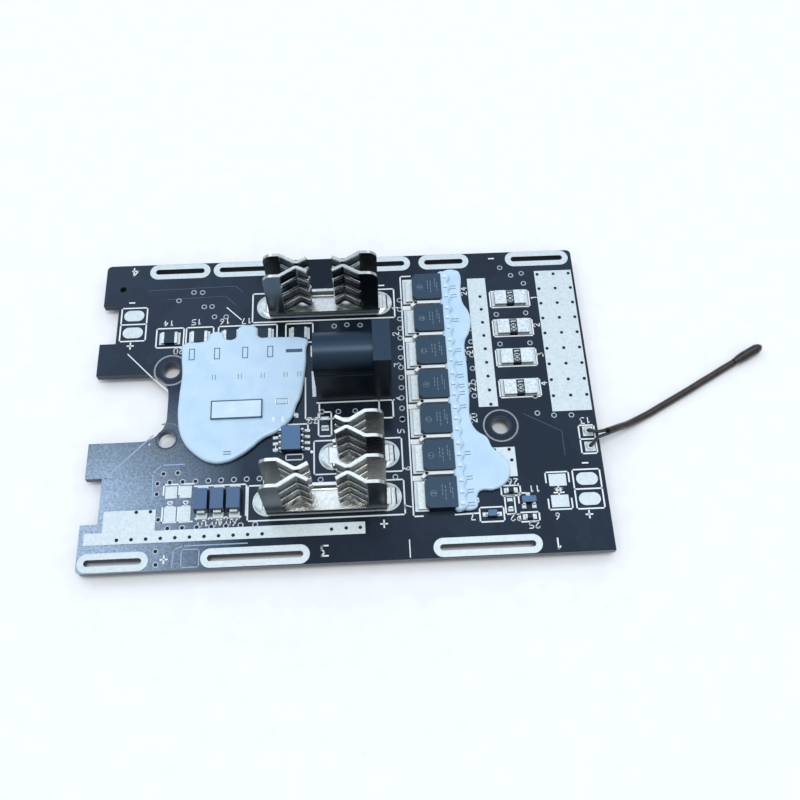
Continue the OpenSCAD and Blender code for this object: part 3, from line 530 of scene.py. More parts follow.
class Layer(Enum):
    """Heights over the mask, in millimetres, at which flat layers lie."""

    RIDGE_ON_MASK = 0.005
    INK_ON_MASK = 0.02
    RIM_ON_MASK = 0.03
    HOLE_ON_MASK = 0.045
    HOLE_ON_TIN = 0.115


# Width of a printed line
LINE = 0.28
# Thickness of a film on a part, and how far it is lifted off the face below
FILM, LIFT = 0.02, 0.005
# Strokes of plain digits and signs in a box 0.6 wide and 1 high
STROKES: dict[str, list[list[Point]]] = {
    "0": [[(0.1, 0), (0.5, 0), (0.6, 0.2), (0.6, 0.8), (0.5, 1), (0.1, 1), (0, 0.8), (0, 0.2),
           (0.1, 0)]],
    "1": [[(0.15, 0.8), (0.35, 1), (0.35, 0)]],
    "2": [[(0, 0.8), (0.1, 1), (0.5, 1), (0.6, 0.7), (0, 0), (0.6, 0)]],
    "3": [[(0, 1), (0.6, 1), (0.3, 0.6), (0.6, 0.4), (0.6, 0.1), (0.45, 0), (0, 0)]],
    "4": [[(0.45, 0), (0.45, 1), (0, 0.35), (0.6, 0.35)]],
    "5": [[(0.6, 1), (0, 1), (0, 0.55), (0.5, 0.55), (0.6, 0.3), (0.45, 0), (0, 0)]],
    "6": [[(0.5, 1), (0.05, 0.45), (0.1, 0), (0.5, 0), (0.6, 0.3), (0.45, 0.5), (0.05, 0.45)]],
    "7": [[(0, 1), (0.6, 1), (0.25, 0)]],
    "+": [[(0.3, 0.15), (0.3, 0.85)], [(0, 0.5), (0.6, 0.5)]],
    "-": [[(0.05, 0.5), (0.55, 0.5)]],
}


class FlatWork:
    """Thin plates on the board's top face, drawn one after another into one piece."""

    def __init__(self, name: str, height: float, thickness: float = 0.03) -> None:
        """Starts an empty piece.

        Args:
            name: Name of the piece.
            height: Middle of the plates over the board's top face.
            thickness: Thickness of the plates.
        """
        low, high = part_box("circuit_board")
        self.centre = Vector(((low[0] + high[0]) / 2, (low[1] + high[1]) / 2, high[2]))
        self.height = height
        self.thickness = thickness
        deselect()
        bpy.ops.mesh.primitive_cube_add(size=MM)
        self.piece = bpy.context.object
        self.piece.name = name
        bpy.ops.object.mode_set(mode="EDIT")
        bpy.ops.mesh.select_all(action="SELECT")
        bpy.ops.mesh.delete(type="VERT")

    def at(self, x: float, y: float) -> Vector:
        """Returns a board place in the row frame, in metres."""
        return self.centre + Vector((x, y, self.height)) * MM

    def bar(self, start: Point, end: Point, width: float = LINE) -> None:
        """Draws a straight line.

        Args:
            start: One end.
            end: The other end.
            width: Width of the line.
        """
        (x0, y0), (x1, y1) = start, end
        run = Vector((x1 - x0, y1 - y0))
        bpy.ops.mesh.primitive_cube_add(
            size=MM, location=self.at((x0 + x1) / 2, (y0 + y1) / 2),
            rotation=(0, 0, math.atan2(run.y, run.x)),
            scale=(run.length + width, width, self.thickness),
        )

    def path(self, points: Spots, width: float = LINE) -> None:
        """Draws straight lines from point to point."""
        for start, end in zip(points, points[1:]):
            self.bar(start, end, width)

    def frame(self, low: Point, high: Point, width: float = LINE) -> None:
        """Draws a rectangle's outline."""
        (x0, y0), (x1, y1) = low, high
        self.path([(x0, y0), (x1, y0), (x1, y1), (x0, y1), (x0, y0)], width)

    def disc(self, x: float, y: float, radius: float) -> None:
        """Draws a filled spot with twelve sides."""
        bpy.ops.mesh.primitive_cylinder_add(
            vertices=12, radius=radius * MM, depth=self.thickness * MM, location=self.at(x, y)
        )

    def ring(
        self, x: float, y: float, radius: float, width: float = LINE, gap: Point = (0, 0)
    ) -> None:
        """Draws a round line, left out between the two angles of a gap, in degrees."""
        sides = max(10, int(radius * 14))
        sweep = 360 - (gap[1] - gap[0])
        angles = [math.radians(gap[1] + sweep * i / sides) for i in range(sides + 1)]
        self.path([(x + radius * math.cos(a), y + radius * math.sin(a)) for a in angles], width)

    def word(self, text: str, x: float, y: float, size: float, turn: float = 180.0) -> None:
        """Draws plain digits and signs about their middle.

        Args:
            text: What to draw.
            x: Middle of the word across the board.
            y: Middle of the word along the board's depth.
            size: Height of a digit.
            turn: How far the word is turned to the left, in degrees.
        """
        spin = Matrix.Rotation(math.radians(turn), 2)
        for i, sign in enumerate(text):
            shift = (i - (len(text) - 1) / 2) * 0.95 - 0.3
            for stroke in STROKES[sign]:
                turned = [spin @ Vector((px + shift, py - 0.5)) * size for px, py in stroke]
                self.path([(x + v.x, y + v.y) for v in turned], max(0.16, 0.15 * size))

    def done(self, finish: Finish) -> None:
        """Closes the piece, dresses it and lets it ride on the board.

        Args:
            finish: The finish of the layer.
        """
        bpy.ops.object.mode_set(mode="OBJECT")
        bpy.ops.object.transform_apply(location=True, rotation=True, scale=True)
        finish.dress(self.piece)
        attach(self.piece, ROOT)
        log.info("%s: %d faces", self.piece.name, len(self.piece.data.polygons))


# Middles of the screw holes; the last one's ring is cut by the notch
SCREWS: tuple[Point, ...] = ((30.3, -7.3), (-34.2, 7.7), (-34.2, -7.3))
FORKS = ("contact_negative", "contact_positive_long", "contact_positive_short")


def row(start: Point, step: Point, count: int) -> Spots:
    """Returns evenly spaced places.

    Args:
        start: The first place.
        step: From one place to the next.
        count: How many places.

    Returns:
        The places, in order.
    """
    return [(start[0] + i * step[0], start[1] + i * step[1]) for i in range(count)]


def footprint(node: str) -> tuple[Point, Point]:
    """Returns the low and high corners in plan of the box round a node, in mm."""
    low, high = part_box(node)
    return (low[0] / MM, low[1] / MM), (high[0] / MM, high[1] / MM)


def middle(node: str) -> Point:
    """Returns the middle in plan of the box round a node, in mm."""
    low, high = footprint(node)
    return (low[0] + high[0]) / 2, (low[1] + high[1]) / 2


def top_of(node: str) -> float:
    """Returns how high a node's top stands over the board's top face, in mm."""
    return (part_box(node)[1][2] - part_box("circuit_board")[1][2]) / MM


@dataclass
class Vias:
    """Plated through holes, painted black as the shade of their depth: bare in tin, and in a pale
    ring each on the mask.
    """

    rim_r: float = 0.56
    rim_w: float = 0.2
    hole_r: float = 0.34

    def on_tin(self) -> Spots:
        """Returns the holes that stand in bare tinned lands."""
        spots: Spots = []
        for x in (41.3, 44.7, 47.9):
            spots += row((x, 27.05), (0, -3.56), 9)
        spots += row((28.8, 22.1), (0, -3.1), 9)
        spots += row((-42.0, -27.0), (2.65, 0), 11)
        spots += [(-2.8, -26.7), (-0.1, -26.6), (2.5, -26.6)]
        spots += [(-38.8, -21.8), (-36.2, -21.8), (28.6, -12.4), (31.4, -12.4), (31.7, -14.6)]
        return spots

    def on_mask(self) -> Spots:
        """Returns the holes that stand in the dark mask."""
        spots = row((12.0, 22.0), (-0.06, -2.25), 13)
        spots += row((-32.9, -25.15), (2.68, 0), 7)
        spots += row((-33.0, -16.15), (2.4, 0), 8)
        spots += row((26.2, 17.6), (-0.08, -3.05), 7)
        spots += [
            (33.6, 29.1), (35.7, 27.1), (38.0, 27.5), (38.2, 25.0), (31.8, 17.7), (37.9, 17.8),
            (31.9, 10.7), (38.0, 10.7), (37.7, -5.0), (40.9, -5.6), (44.3, -5.7), (37.7, -1.3),
            (-30.6, 25.8), (-28.8, 25.7), (-33.6, 23.9), (-28.3, 22.2), (-26.7, 22.2),
            (-26.1, 19.7), (-23.7, 19.6), (-34.7, -23.4), (-34.8, -29.4), (-34.6, -31.9),
            (-1.6, 16.4), (1.0, 16.6), (3.7, 16.4), (-4.3, -2.8), (-1.1, -2.9), (2.2, -2.9),
            (-35.3, -16.3), (-35.3, -18.4), (-34.3, -14.4), (-31.6, -14.3), (-4.7, -16.9),
            (11.3, -5.2), (9.4, -17.0),
        ]
        return spots

    def build(self) -> None:
        """Makes the rims and the middles painted dark as the holes' shade."""
        for name, layer, spots, radius, finish in (
            ("via_rims", Layer.RIM_ON_MASK, self.on_mask(), self.rim_r, VIA_RIM),
            ("via_eyes", Layer.HOLE_ON_MASK, self.on_mask(), self.rim_r - self.rim_w, HOLE_SHADE),
            ("via_holes", Layer.HOLE_ON_TIN, self.on_tin(), self.hole_r, HOLE_SHADE),
        ):
            plates = FlatWork(name, layer.value)
            for x, y in spots:
                plates.disc(x, y, radius)
            plates.done(finish)


# Heights of a digit and of a terminal's sign
DIGIT, SIGN = 1.2, 1.9
# Height, turn in degrees, and the texts with their middles
LABELS: tuple[tuple[float, float, tuple[tuple[str, float, float], ...]], ...] = (
    (SIGN, 180, (
        ("4", -43.1, 31.3), ("-", -43.2, 23.8), ("+", -42.8, 13.6), ("-", 8.4, 25.8),
        ("-", 32.0, 31.5), ("+", -33.2, -31.0), ("3", -4.1, -30.7), ("+", 6.9, -26.1),
        ("1", 38.6, -31.3), ("-", 45.6, -15.8), ("+", 45.0, -26.0),
    )),
    (DIGIT, 180, (
        ("14", -35.3, 18.5), ("15", -29.7, 18.6), ("16", -23.9, 18.5),
        ("17", -19.5, 18.4), ("20", -33.0, 12.0), ("26", 31.5, -19.0),
        ("11", 35.4, -20.6), ("22", 31.3, -26.0), ("25", 34.6, -27.6),
        ("6", 39.1, -26.1), ("7", 23.4, -25.5), ("10", -26.4, -24.5),
        ("40", -23.8, -24.5), ("60", -21.2, -24.5), ("30", -14.5, -16.9),
        ("31", -12.6, -10.3), ("32", -6.1, -4.6), ("13", 46.8, -7.0),
    )),
    (DIGIT, 90, (
        ("1", 11.0, 20.2), ("2", 10.9, 14.0), ("3", 10.9, 6.9), ("4", 10.9, -0.6),
        ("5", 10.9, -7.6), ("6", 11.6, -15.4), ("7", 11.5, -23.0), ("24", 25.5, 23.6),
        ("21", 25.6, 9.6), ("23", 25.5, 1.3), ("20", 25.2, -5.5), ("1", 39.9, 21.4),
        ("2", 39.8, 14.8), ("3", 39.7, 7.9), ("4", 39.7, 1.4),
    )),
)


@dataclass
class BoardPrint:
    """White screen print: the outlines of the parts, and plain numbers and signs."""

    thin: float = 0.2
    heavy: float = 0.55
    bead_w: float = 0.62
    bead_h: float = 1.55
    ring_r: float = 3.3
    washer_r: float = 2.0
    notch_gap: Point = (112, 196)

    def screws(self, ink: FlatWork) -> None:
        """Draws a ring round each screw hole, open where the notch cuts the board."""
        for (x, y), gap in zip(SCREWS, ((0, 0), (0, 0), self.notch_gap)):
            ink.ring(x, y, self.ring_r, gap=gap)

    def forks(self, ink: FlatWork) -> None:
        """Draws a box round each fork contact."""
        for name in FORKS:
            low, high = footprint(name)
            ink.frame((low[0] - 2.5, low[1] - 0.85), (high[0] + 2.1, high[1] + 0.65))

    def socket(self, ink: FlatWork) -> None:
        """Draws the socket's second outline, for a socket set further forward."""
        (x0, y0), (x1, _) = footprint("jack_housing")
        front = y0 - 0.25
        for route in (
            [(x0 - 0.2, front), (x1 + 0.4, front)],
            [(x1 + 0.2, front), (x1 + 0.2, front - 3.8)],
            [(x1 - 2.5, front), (x1 - 2.5, front - 3.8)],
            [(x1 - 2.5, front - 3.8), (x1 + 0.2, front - 3.8)],
            [(x0 + 0.2, front - 0.4), (x0 + 0.2, front - 3.4)],
            [(x0 - 2.5, front + 5.6), (x0 - 2.5, front - 3.5), (x1 - 7.5, front - 3.5)],
        ):
            ink.path(route)

    def transistors(self, ink: FlatWork) -> None:
        """Draws the heavy lines between the transistors and the lines at their tabs."""
        rows = [footprint(f"transistor_body_{i}") for i in range(1, 8)]
        left, right = rows[0][0][0], rows[0][1][0]
        for low, _ in rows[:-1]:
            y = low[1] - self.heavy / 2
            ink.bar((left - 1.6, y - 0.5), (left - 0.1, y - 0.5), 1.0)
        top, bottom = rows[0][1][1] + 0.8, rows[-1][0][1] - 0.75
        ink.path([(left - 0.2, top), (left - 2.3, top), (left - 2.3, bottom), (left - 0.6, bottom)])
        ink.path([(right - 0.6, bottom), (right + 3.6, bottom + 0.1)])

    def bands(self) -> None:
        """Lays the white beads in the gaps between the transistors."""
        beads = FlatWork("gap_beads", self.bead_h / 2, self.bead_h)
        for i in range(1, 7):
            low, high = footprint(f"transistor_body_{i}")
            y = low[1] - self.bead_w / 2 - 0.05
            beads.path(
                [(high[0] + 0.1, y), (low[0] + 0.55, y), (low[0] - 0.1, y - 0.6)], self.bead_w
            )
        beads.done(INK)

    def chips(self, ink: FlatWork) -> None:
        """Draws the boxes round shunts, balance resistors, rectifiers and lamp pads."""
        for i in range(1, 5):
            x, y = middle(f"shunt_ends_{i}")
            ink.frame((x - 4.05, y - 1.95), (x + 4.05, y + 1.95))
        for x in (-34.9, -28.9, -22.4, -16.0, -8.7):
            ink.frame((x - 2.75, 12.9), (x + 2.75, 17.35))
        (left, front), (right, back) = footprint("rectifier_bodies")
        ink.path([(left - 0.3, back + 1.1), (right + 0.8, back + 1.1), (right + 0.8, front - 0.7)])
        width = (right - left) / 3
        for i in range(3):
            x0, x1 = left + i * width, left + (i + 1) * width
            ink.path([(x0 + 0.15, front - 0.9), (x0 + 0.5, front - 1.35),
                      (x1 - 0.5, front - 1.35), (x1 - 0.15, front - 0.9)])
        for x in (-32.7, -29.8):
            ink.path([(x - 1.35, -18.6), (x - 1.35, -16.6), (x + 1.35, -16.6)])
            ink.path([(x - 1.35, -21.2), (x - 1.35, -24.0), (x + 1.35, -24.0)])
            ink.path([(x - 0.6, -20.0), (x + 0.6, -20.0), (x, -20.8), (x - 0.6, -20.0)], self.thin)
            ink.bar((x - 0.6, -20.95), (x + 0.6, -20.95), self.thin)
        for x, y in ((-42.5, 18.6), (45.5, -21.0)):
            ink.frame((x - 2.6, y - 3.9), (x + 2.6, y + 3.9))
            ink.bar((x - 2.6, y), (x + 2.6, y))

    def corner(self, ink: FlatWork) -> None:
        """Draws the outlines of the small parts near the sensor and right of the row."""
        for low, high in (
            ((45.3, -13.9), (48.3, -8.0)), ((29.1, -21.7), (32.7, -19.7)),
            ((29.6, -25.3), (31.4, -21.8)), ((24.7, -26.6), (29.2, -23.8)),
            ((32.1, -26.9), (35.7, -25.1)), ((-5.0, -8.0), (-2.5, -2.9)),
        ):
            ink.frame(low, high)
        for route in (
            [(45.3, -10.9), (48.3, -10.9)],
            [(33.6, -21.3), (32.2, -21.3), (32.2, -23.2)],
            [(37.7, -19.4), (37.7, -17.4), (42.1, -17.4), (42.1, -19.4)],
            [(37.7, -22.8), (37.7, -24.8), (42.1, -24.8), (42.1, -22.8)],
            [(39.2, -20.7), (40.6, -20.7), (39.9, -21.4), (39.2, -20.7)],
            [(39.0, -21.5), (40.8, -21.5)],
            [(39.9, -20.3), (39.9, -22.2)],
        ):
            ink.path(route)

    def driver(self, ink: FlatWork) -> None:
        """Draws the driver's outline and its first lead's dot."""
        (x0, front), (x1, back) = footprint("driver_body")
        ink.path([(x0 + 0.2, back - 0.4), (x0 + 0.2, back + 0.9), (x1 + 1.2, back + 0.9),
                  (x1 + 1.2, back - 0.2)])
        ink.frame((x0 + 0.9, front - 1.6), (x1 + 0.2, front - 0.5), self.thin)
        ink.disc(x1 + 1.9, front - 0.1, 0.3)

    def lines(self, ink: FlatWork) -> None:
        """Draws the thin loose lines."""
        ink.path([(-43.1, 11.7), (-37.7, 6.0), (-34.6, 3.1)], self.thin)
        ink.bar((-23.6, 21.8), (-20.6, 18.8), self.thin)
        ink.bar((11.4, -29.4), (11.4, -32.6), self.thin)

    def words(self, ink: FlatWork) -> None:
        """Draws plain numbers beside parts, and the signs of the terminals."""
        for size, turn, labels in LABELS:
            for text, x, y in labels:
                ink.word(text, x, y, size, turn)

    def ridges(self) -> None:
        """Draws the edges of the copper under the mask, plain and under the painted reflection."""
        ridge = FlatWork("copper_ridges", Layer.RIDGE_ON_MASK.value)
        for x, y in SCREWS:
            ridge.ring(x, y, self.washer_r, 0.22)
        for route in (
            [(-40.0, 26.6), (-22.0, 27.0), (-20.5, 25.6)],
            [(-36.0, 24.3), (-24.0, 24.6), (-21.8, 22.4)],
            [(35.0, -5.0), (42.0, -9.0), (42.0, -14.0)],
        ):
            ridge.path(route, 0.12)
        ridge.done(RIDGE)
        # Ridges under the painted reflection, drawn paler to match it
        sheened = FlatWork("sheened_ridges", Layer.RIDGE_ON_MASK.value)
        for route, width in (
            ([(-36.9, -6.4), (-45.2, -14.8), (-45.0, -20.3)], 0.26),
            ([(-30.4, -12.6), (-34.7, -12.6), (-36.3, -14.2), (-36.1, -19.5)], 0.2),
            ([(-31.7, -32.5), (-31.5, -29.2), (-29.8, -28.6), (-18.2, -28.6)], 0.2),
        ):
            sheened.path(route, width)
        sheened.frame((-30.1, -32.6), (-26.9, -29.3), 0.18)
        sheened.done(SHEENED_RIDGE)

    def slots(self) -> None:
        """Draws the slots in the solder beside the contacts' legs, as thin lines painted dark as
        their shade.
        """
        slots = FlatWork("leg_slots", top_of("contact_solder") + LIFT, FILM)
        for name in FORKS:
            low, high = footprint(name)
            slots.bar((high[0] + 0.6, low[1] + 1.2), (high[0] + 0.5, high[1] - 1.2), 0.22)
        slots.done(HOLE_SHADE)

    def build(self) -> None:
        """Makes the lines as one piece, then the beads, ridges, slots and side pad."""
        ink = FlatWork("printed_lines", Layer.INK_ON_MASK.value)
        for draw in (
            self.screws, self.forks, self.socket, self.transistors, self.chips, self.corner,
            self.driver, self.lines, self.words,
        ):
            draw(ink)
        ink.done(INK)
        self.bands()
        self.ridges()
        self.slots()
        strip = FlatWork("socket_side_pad", Layer.INK_ON_MASK.value)
        strip.bar((-5.75, 0.9), (-5.9, 5.8), 0.75)
        strip.done(MILK_AND_HIGHLIGHT)


@dataclass
class PartMarks:
    """Plain print on the parts themselves: ejector circles, dashes and numbers."""

    circle_r: float = 0.6
    place_digit: float = 0.7
    value_digit: float = 0.95
    # Each row of dashes: its distance from the body's left side, start and end
    dashes: tuple[Place, ...] = (
        (3.2, -0.6, 1.6), (3.8, -1.5, 1.4), (4.7, -0.2, 1.7), (5.1, -1.2, 1.0),
    )

    def transistors(self) -> None:
        """Marks the transistors' tops with a circle, dashes and the place number."""
        marks = FlatWork("transistor_marks", top_of("transistor_body_1") + LIFT, FILM)
        for i in range(1, 8):
            (x0, y0), (_, y1) = footprint(f"transistor_body_{i}")
            y = (y0 + y1) / 2
            marks.ring(x0 + 1.55, y - 0.2, self.circle_r, 0.1)
            marks.word(str(i), x0 + 1.55, y - 0.2, self.place_digit, 90)
            for x, at, end in self.dashes:
                while at < end:
                    marks.bar((x0 + x, y + at), (x0 + x, y + min(at + 0.4, end)), 0.13)
                    at += 0.75
        marks.done(LASER)

    def shunts(self) -> None:
        """Marks the shunts' strips with a plain number."""
        marks = FlatWork("shunt_marks", top_of("shunt_core_1") + 0.01, FILM)
        for i in range(1, 5):
            x, y = middle(f"shunt_ends_{i}")
            marks.word("001", x, y + 0.1, self.value_digit, 90)
        marks.done(INK)

    def build(self) -> None:
        """Makes all the marks."""
        self.transistors()
        self.shunts()


@dataclass(frozen=True)
class Pool:
    """One pool of gel: its height over the board, its rim's radius and its outline."""

    height: float
    rim: float
    outline: tuple[Point, ...]

    def pour(self) -> bpy.types.Object:
        """Makes the pool from a closed curve through its outline.

        Returns:
            The pool as a mesh at the origin.
        """
        deselect()
        bpy.ops.curve.primitive_bezier_circle_add()
        pool = bpy.context.object
        curve = pool.data
        curve.dimensions = "2D"
        curve.fill_mode = "BOTH"
        points = curve.splines[0].bezier_points
        points.add(len(self.outline) - len(points))
        for point, (x, y) in zip(points, self.outline):
            point.co = (x * MM, y * MM, 0)
            point.handle_left_type = point.handle_right_type = "AUTO"
        curve.resolution_u = 6
        curve.bevel_depth = self.rim * MM
        curve.bevel_resolution = 4
        curve.offset = -self.rim * MM
        curve.extrude = (self.height / 2 - self.rim) * MM
        bpy.ops.object.convert(target="MESH")
        low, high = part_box("circuit_board")
        pool.location = (
            (low[0] + high[0]) / 2, (low[1] + high[1]) / 2, high[2] + self.height / 2 * MM
        )
        bpy.ops.object.transform_apply(location=True, rotation=True, scale=True)
        bpy.ops.object.shade_smooth_by_angle(angle=math.radians(40))
        return pool


@dataclass(frozen=True)
class GelFilm:
    """Pools of gel with rounded rims, in place of a plain CAD solid."""

    name: str
    node: str
    pools: tuple[Pool, ...]

    def build(self) -> None:
        """Pours the pools and joins them."""
        poured = [pool.pour() for pool in self.pools]
        deselect()
        for pool in poured:
            pool.select_set(True)
        film = poured[0]
        bpy.context.view_layer.objects.active = film
        if len(poured) > 1:
            bpy.ops.object.join()
        film.name = self.name
        FINISHES["gel"].dress(film)
        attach(film, ROOT)
        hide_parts(self.node)
        log.info("%s: %d faces", self.name, len(film.data.polygons))


CONTROLLER_POOL = Pool(1.25, 0.5, (
    (-31.8, 12.9), (-28.2, 13.4), (-27.0, 13.8), (-26.4, 15.3), (-24.2, 15.3),
    (-23.5, 13.9), (-21.6, 13.9), (-20.8, 16.4), (-17.3, 16.3), (-16.7, 14.1),
    (-14.6, 13.9), (-11.8, 13.8), (-7.8, 13.4), (-6.9, 12.8), (-7.2, 11.2),
    (-7.3, 7.7), (-7.8, 3.3), (-8.4, 0.2), (-9.2, -1.6), (-9.8, -3.6), (-10.9, -5.3),
    (-12.7, -6.9), (-15.6, -8.3), (-17.8, -10.2), (-19.9, -11.7), (-22.4, -12.8),
    (-25.1, -12.9), (-28.5, -11.0), (-31.1, -7.7), (-32.1, -3.2), (-32.1, 1.0),
    (-31.8, 6.3), (-32.1, 10.6),
))
GATE_POOL = Pool(1.1, 0.4, (
    (21.0, 27.6), (21.4, 28.2), (24.4, 28.2), (24.9, 27.6), (24.8, 22.6), (25.0, 20.4),
    (26.0, 18.2), (26.3, 15.8), (25.7, 13.2), (24.8, 11.4), (24.7, 5.0), (24.6, -1.4),
    (24.5, -6.2), (25.4, -8.4), (27.3, -10.0), (28.2, -12.2), (30.3, -14.2),
    (31.1, -16.8), (30.2, -19.2), (27.6, -20.6), (25.2, -20.7), (24.5, -21.6),
    (24.4, -23.6), (24.0, -24.1), (21.5, -24.1), (21.0, -23.6), (20.9, -12.0),
    (20.9, 2.0), (20.9, 16.0),
))


def lead_spots() -> Spots:
    """Returns the places where the transistors' leads leave their bodies."""
    spots: Spots = []
    for i in range(1, 8):
        _, y = middle(f"transistor_body_{i}")
        right = footprint(f"transistor_body_{i}")[1][0]
        spots += [(right, y + 2.3), (right, y), (right, y - 2.3)]
    return spots


def lead_pool(height: float = 1.95, rim: float = 0.6) -> Pool:
    """Returns the gel's crest over the leads, scalloped between them.

    Args:
        height: Height of the crest over the board.
        rim: Radius of its edge.

    Returns:
        The crest, as a pool of its own.
    """
    spots = lead_spots()
    right: Spots = []
    for (x, y), (_, below) in zip(spots, spots[1:]):
        right += [(x + 1.9, y), (x + 1.35, (y + below) / 2)]
    (x, top), (_, bottom) = spots[0], spots[-1]
    ends = [(x + 1.9, bottom), (x + 1.0, bottom - 1.0), (x - 0.5, bottom - 1.0)]
    left = [(x - 0.5, top + 1.3 - i * (top - bottom + 2.3) / 8) for i in range(7, -1, -1)]
    return Pool(height, rim, tuple([(x + 1.0, top + 1.3)] + right + ends + left))


@dataclass
class SunkParts:
    """What shows through or stands out of the gel: outlines of parts, and painted highlights and
    painted shade at the lead bumps.
    """

    line: float = 0.16
    heavy: float = 0.24
    thin: float = 0.1
    bump_r: float = 0.26

    def controller(self) -> None:
        """Makes the film on the controller, and what shows through its gel."""
        (x0, y0), (x1, y1) = footprint("controller_body")
        top = top_of("controller_body")
        skin = FlatWork("controller_skin", top + 0.02)
        half = (y1 - y0) / 2
        skin.bar((x0 + half, y0 + half), (x1 - half, y0 + half), 2 * half)
        skin.done(SKIN)
        outline = FlatWork("controller_outline", top + 0.04, FILM)
        outline.frame((x0 + 0.1, y0 + 0.1), (x1 - 0.1, y1 - 0.1), self.heavy)
        outline.done(SUNK_AND_SHADE)
        level = CONTROLLER_POOL.height + LIFT
        sunk = FlatWork("sunk_outlines", level, FILM)
        for x in (-30.0, -25.0, -19.4, -14.4):
            sunk.frame((x - 0.5, 9.2), (x + 0.5, 11.6), self.line)
        sunk.bar((-10.9, 10.4), (-8.4, 10.4), 0.75)
        for x in (-25.4, -20.3, -15.8, -11.3, -8.6):
            for side in (x - 0.3, x + 0.3):
                sunk.bar((side, 4.6), (side, 5.6), self.thin)
        for y in (-11.4, -10.9):
            sunk.bar((-22.9, y), (-21.6, y), self.line)
        sunk.frame((-13.0, -1.3), (-10.9, -0.2), self.thin)
        sunk.done(SUNK_AND_SHADE)
        milk = FlatWork("milky_places", level, FILM)
        for x, y in ((-13.1, -0.75), (-10.9, -0.75), (-13.6, -4.6), (-11.8, -4.6)):
            milk.bar((x, y - 0.3), (x, y + 0.3), 0.5)
        for x, y in (
            (-29.3, 8.2), (-28.8, 6.9), (-26.0, 8.3), (-28.9, 2.0), (-19.4, 8.3), (-14.4, 8.2),
        ):
            milk.bar((x - 0.3, y - 0.2), (x + 0.3, y + 0.3), 0.12)
        milk.done(MILK_AND_HIGHLIGHT)

    def gate(self, crest: Pool) -> None:
        """Makes the outlines in the transistors' gel, and a painted highlight with painted shade
        beside it on each bump of its crest.
        """
        marks = FlatWork("gate_outlines", GATE_POOL.height + LIFT, FILM)
        for y in (24.0, 21.9, 16.1, 9.1, 6.1, 3.3, 1.1, -0.5, -3.4, -13.2, -18.2, -20.8, -23.4):
            for side in (y + 0.3, y - 0.3):
                marks.bar((22.8, side - 0.05), (23.8, side + 0.05), 0.12)
        marks.done(SUNK_AND_SHADE)
        # Painted highlight: a pale disc on each bump of the crest
        spots = FlatWork("lead_highlights", crest.height + LIFT, FILM)
        for x, y in lead_spots():
            spots.disc(x + 0.75, y + 0.1, self.bump_r)
        spots.done(MILK_AND_HIGHLIGHT)
        # Painted shade: a dark bar under each lead's highlight
        shades = FlatWork("lead_shades", crest.height + LIFT, FILM)
        for x, y in lead_spots():
            shades.bar((x + 0.4, y - 0.35), (x + 1.1, y - 0.42), self.thin)
        shades.done(SUNK_AND_SHADE)

    def build(self, crest: Pool) -> None:
        """Makes what shows in both gels.

        Args:
            crest: The gel's crest over the transistors' leads.
        """
        self.controller()
        self.gate(crest)


@dataclass
class SensorLead:
    """The sleeve that holds the sensor's wires from the board to the bead."""

    sleeve_d: float = 1.5
    # Route of the sleeve over the surface that the legs stand on
    route: tuple[Place, ...] = (
        (50.6, -9.9, 4.1), (52, -9.3, 3.65), (53.4, -8.6, 2.95), (54.9, -7.9, 2.1),
        (56.5, -7, 1.35), (58.2, -6.1, 0.9), (60.2, -5.1, 0.75), (62.4, -3.9, 0.75),
        (64.8, -2.6, 0.75), (67.2, -1.3, 0.75), (69.6, 0, 0.75), (72, 1.4, 0.75),
        (74.4, 2.7, 0.75), (76.8, 4.1, 0.75), (79.4, 5.5, 0.75),
    )

    def length(self) -> float:
        """Returns the length of the sleeve's route, in mm."""
        points = [Vector(p) for p in self.route]
        return sum((b - a).length for a, b in zip(points, points[1:]))

    def build(self, frame: dict) -> None:
        deselect()
        bpy.ops.curve.primitive_nurbs_path_add()
        sleeve = bpy.context.object
        sleeve.name = "shrink_sleeve"
        curve = sleeve.data
        curve.splines.clear()
        spline = curve.splines.new("POLY")
        spline.points.add(len(self.route) - 1)
        for point, place in zip(spline.points, self.route):
            point.co = (place[0] * MM, place[1] * MM, place[2] * MM, 1)
        spline.use_smooth = True
        curve.bevel_depth = self.sleeve_d / 2 * MM
        curve.bevel_resolution = 5
        curve.use_fill_caps = True
        FINISHES["sleeve"].dress(sleeve)
        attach(sleeve, ROOT)
        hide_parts("sensor_sleeve")
        log.info("shrink_sleeve: %.1f mm long", self.length())


# ---- studio


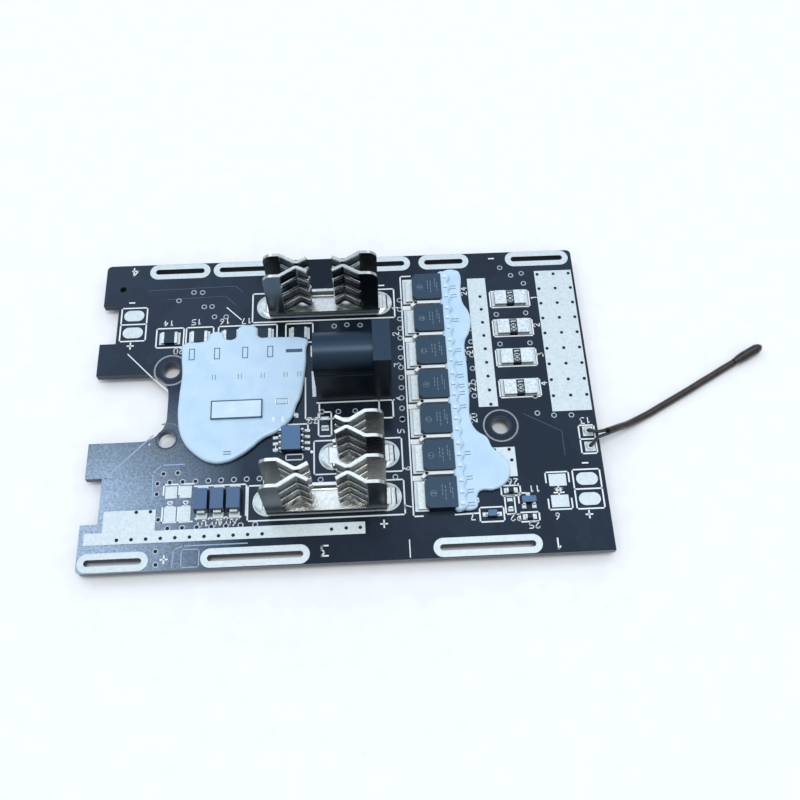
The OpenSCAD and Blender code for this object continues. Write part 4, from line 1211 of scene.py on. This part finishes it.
@dataclass
class Studio:
    """Pale floor, soft light and the camera over the board's front edge.

    The camera's angles are in degrees; offset_mm is the board's middle as the
    camera has it, right, down and away.
    """

    yaw: float = 3.47
    elevation: float = 64.32
    roll: float = 0.78
    offset_mm: Place = (-11.07, -0.39, 176.99)
    lens_mm: float = 40.5

    def camera(self) -> None:
        """Sets up the camera."""
        e = math.radians(self.elevation)
        tilt = Matrix(((1, 0, 0), (0, -math.sin(e), -math.cos(e)), (0, math.cos(e), -math.sin(e))))
        yaw, roll = (Matrix.Rotation(math.radians(a), 3, "Z") for a in (self.yaw, self.roll))
        turn = roll @ tilt @ yaw
        _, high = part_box("circuit_board")
        place = Vector((0, 0, high[2])) - turn.transposed() @ Vector(self.offset_mm) * MM
        axes = Matrix((turn[0], -turn[1], -turn[2])).transposed()
        deselect()
        bpy.ops.object.camera_add()
        camera = bpy.context.object
        camera.name = "camera"
        camera.matrix_world = Matrix.Translation(place) @ axes.to_4x4()
        camera.data.sensor_width = 36
        camera.data.lens = self.lens_mm
        camera.data.clip_start = 0.01
        camera.data.clip_end = 20
        bpy.context.scene.camera = camera

    def light(self, name: str, place: Place, size: float, power: float, tint: str) -> None:
        """Adds a square soft light aimed at the part.

        Args:
            name: Name of the light.
            place: Its middle, in metres.
            size: Length of its side, in metres.
            power: Its power, in watts.
            tint: Hex colour of its light.
        """
        deselect()
        aim = (-Vector(place)).to_track_quat("-Z", "Y").to_euler()
        bpy.ops.object.light_add(type="AREA", location=place, rotation=aim)
        lamp = bpy.context.object
        lamp.name = name
        lamp.data.shape = "SQUARE"
        lamp.data.size = size
        lamp.data.energy = power
        lamp.data.color = linear(tint)[:3]

    def floor(self) -> None:
        """Lays the pale floor at the level of the leg tips."""
        deselect()
        bpy.ops.mesh.primitive_plane_add(size=6)
        floor = bpy.context.object
        floor.name = "floor"
        PAPER.dress(floor)

    def sky(self) -> None:
        """Fills the room with even, faint light."""
        world = bpy.data.worlds.new("room")
        world.use_nodes = True
        tree = world.node_tree
        tree.nodes.clear()
        glow = put(tree, "Background", {"Color": linear("#e9f1fb"), "Strength": 0.55})
        put(tree, "OutputWorld", {"Surface": glow["Background"]})
        bpy.context.scene.world = world

    def build(self) -> None:
        """Builds the whole studio."""
        self.camera()
        self.floor()
        self.sky()
        self.light("left_softbox", (-0.5, 0.5, 1.0), 0.8, 3.0, "#dceaff")
        self.light("right_softbox", (0.4, 0.5, 1.0), 0.8, 2.0, "#dceaff")
        self.light("top_softbox", (0.05, -0.06, 1.2), 0.4, 5.2, "#fffefb")
        self.light("front_softbox", (0.2, -0.9, 1.1), 1.0, 0.9, "#fffdf8")
        bpy.context.scene.view_settings.view_transform = "Standard"


def main() -> None:
    """Builds the looks in order and reports each piece."""
    logging.basicConfig(level=logging.INFO, format="%(message)s")
    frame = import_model()
    Studio().build()
    dress_nodes(frame)
    SensorLead().build(frame)
    crest = lead_pool()
    GelFilm("controller_gel", "controller_coating", (CONTROLLER_POOL,)).build()
    GelFilm("gate_gel", "gate_coating", (GATE_POOL, crest)).build()
    SunkParts().build(crest)
    Vias().build()
    BoardPrint().build()
    PartMarks().build()


if __name__ == "__main__":
    main()
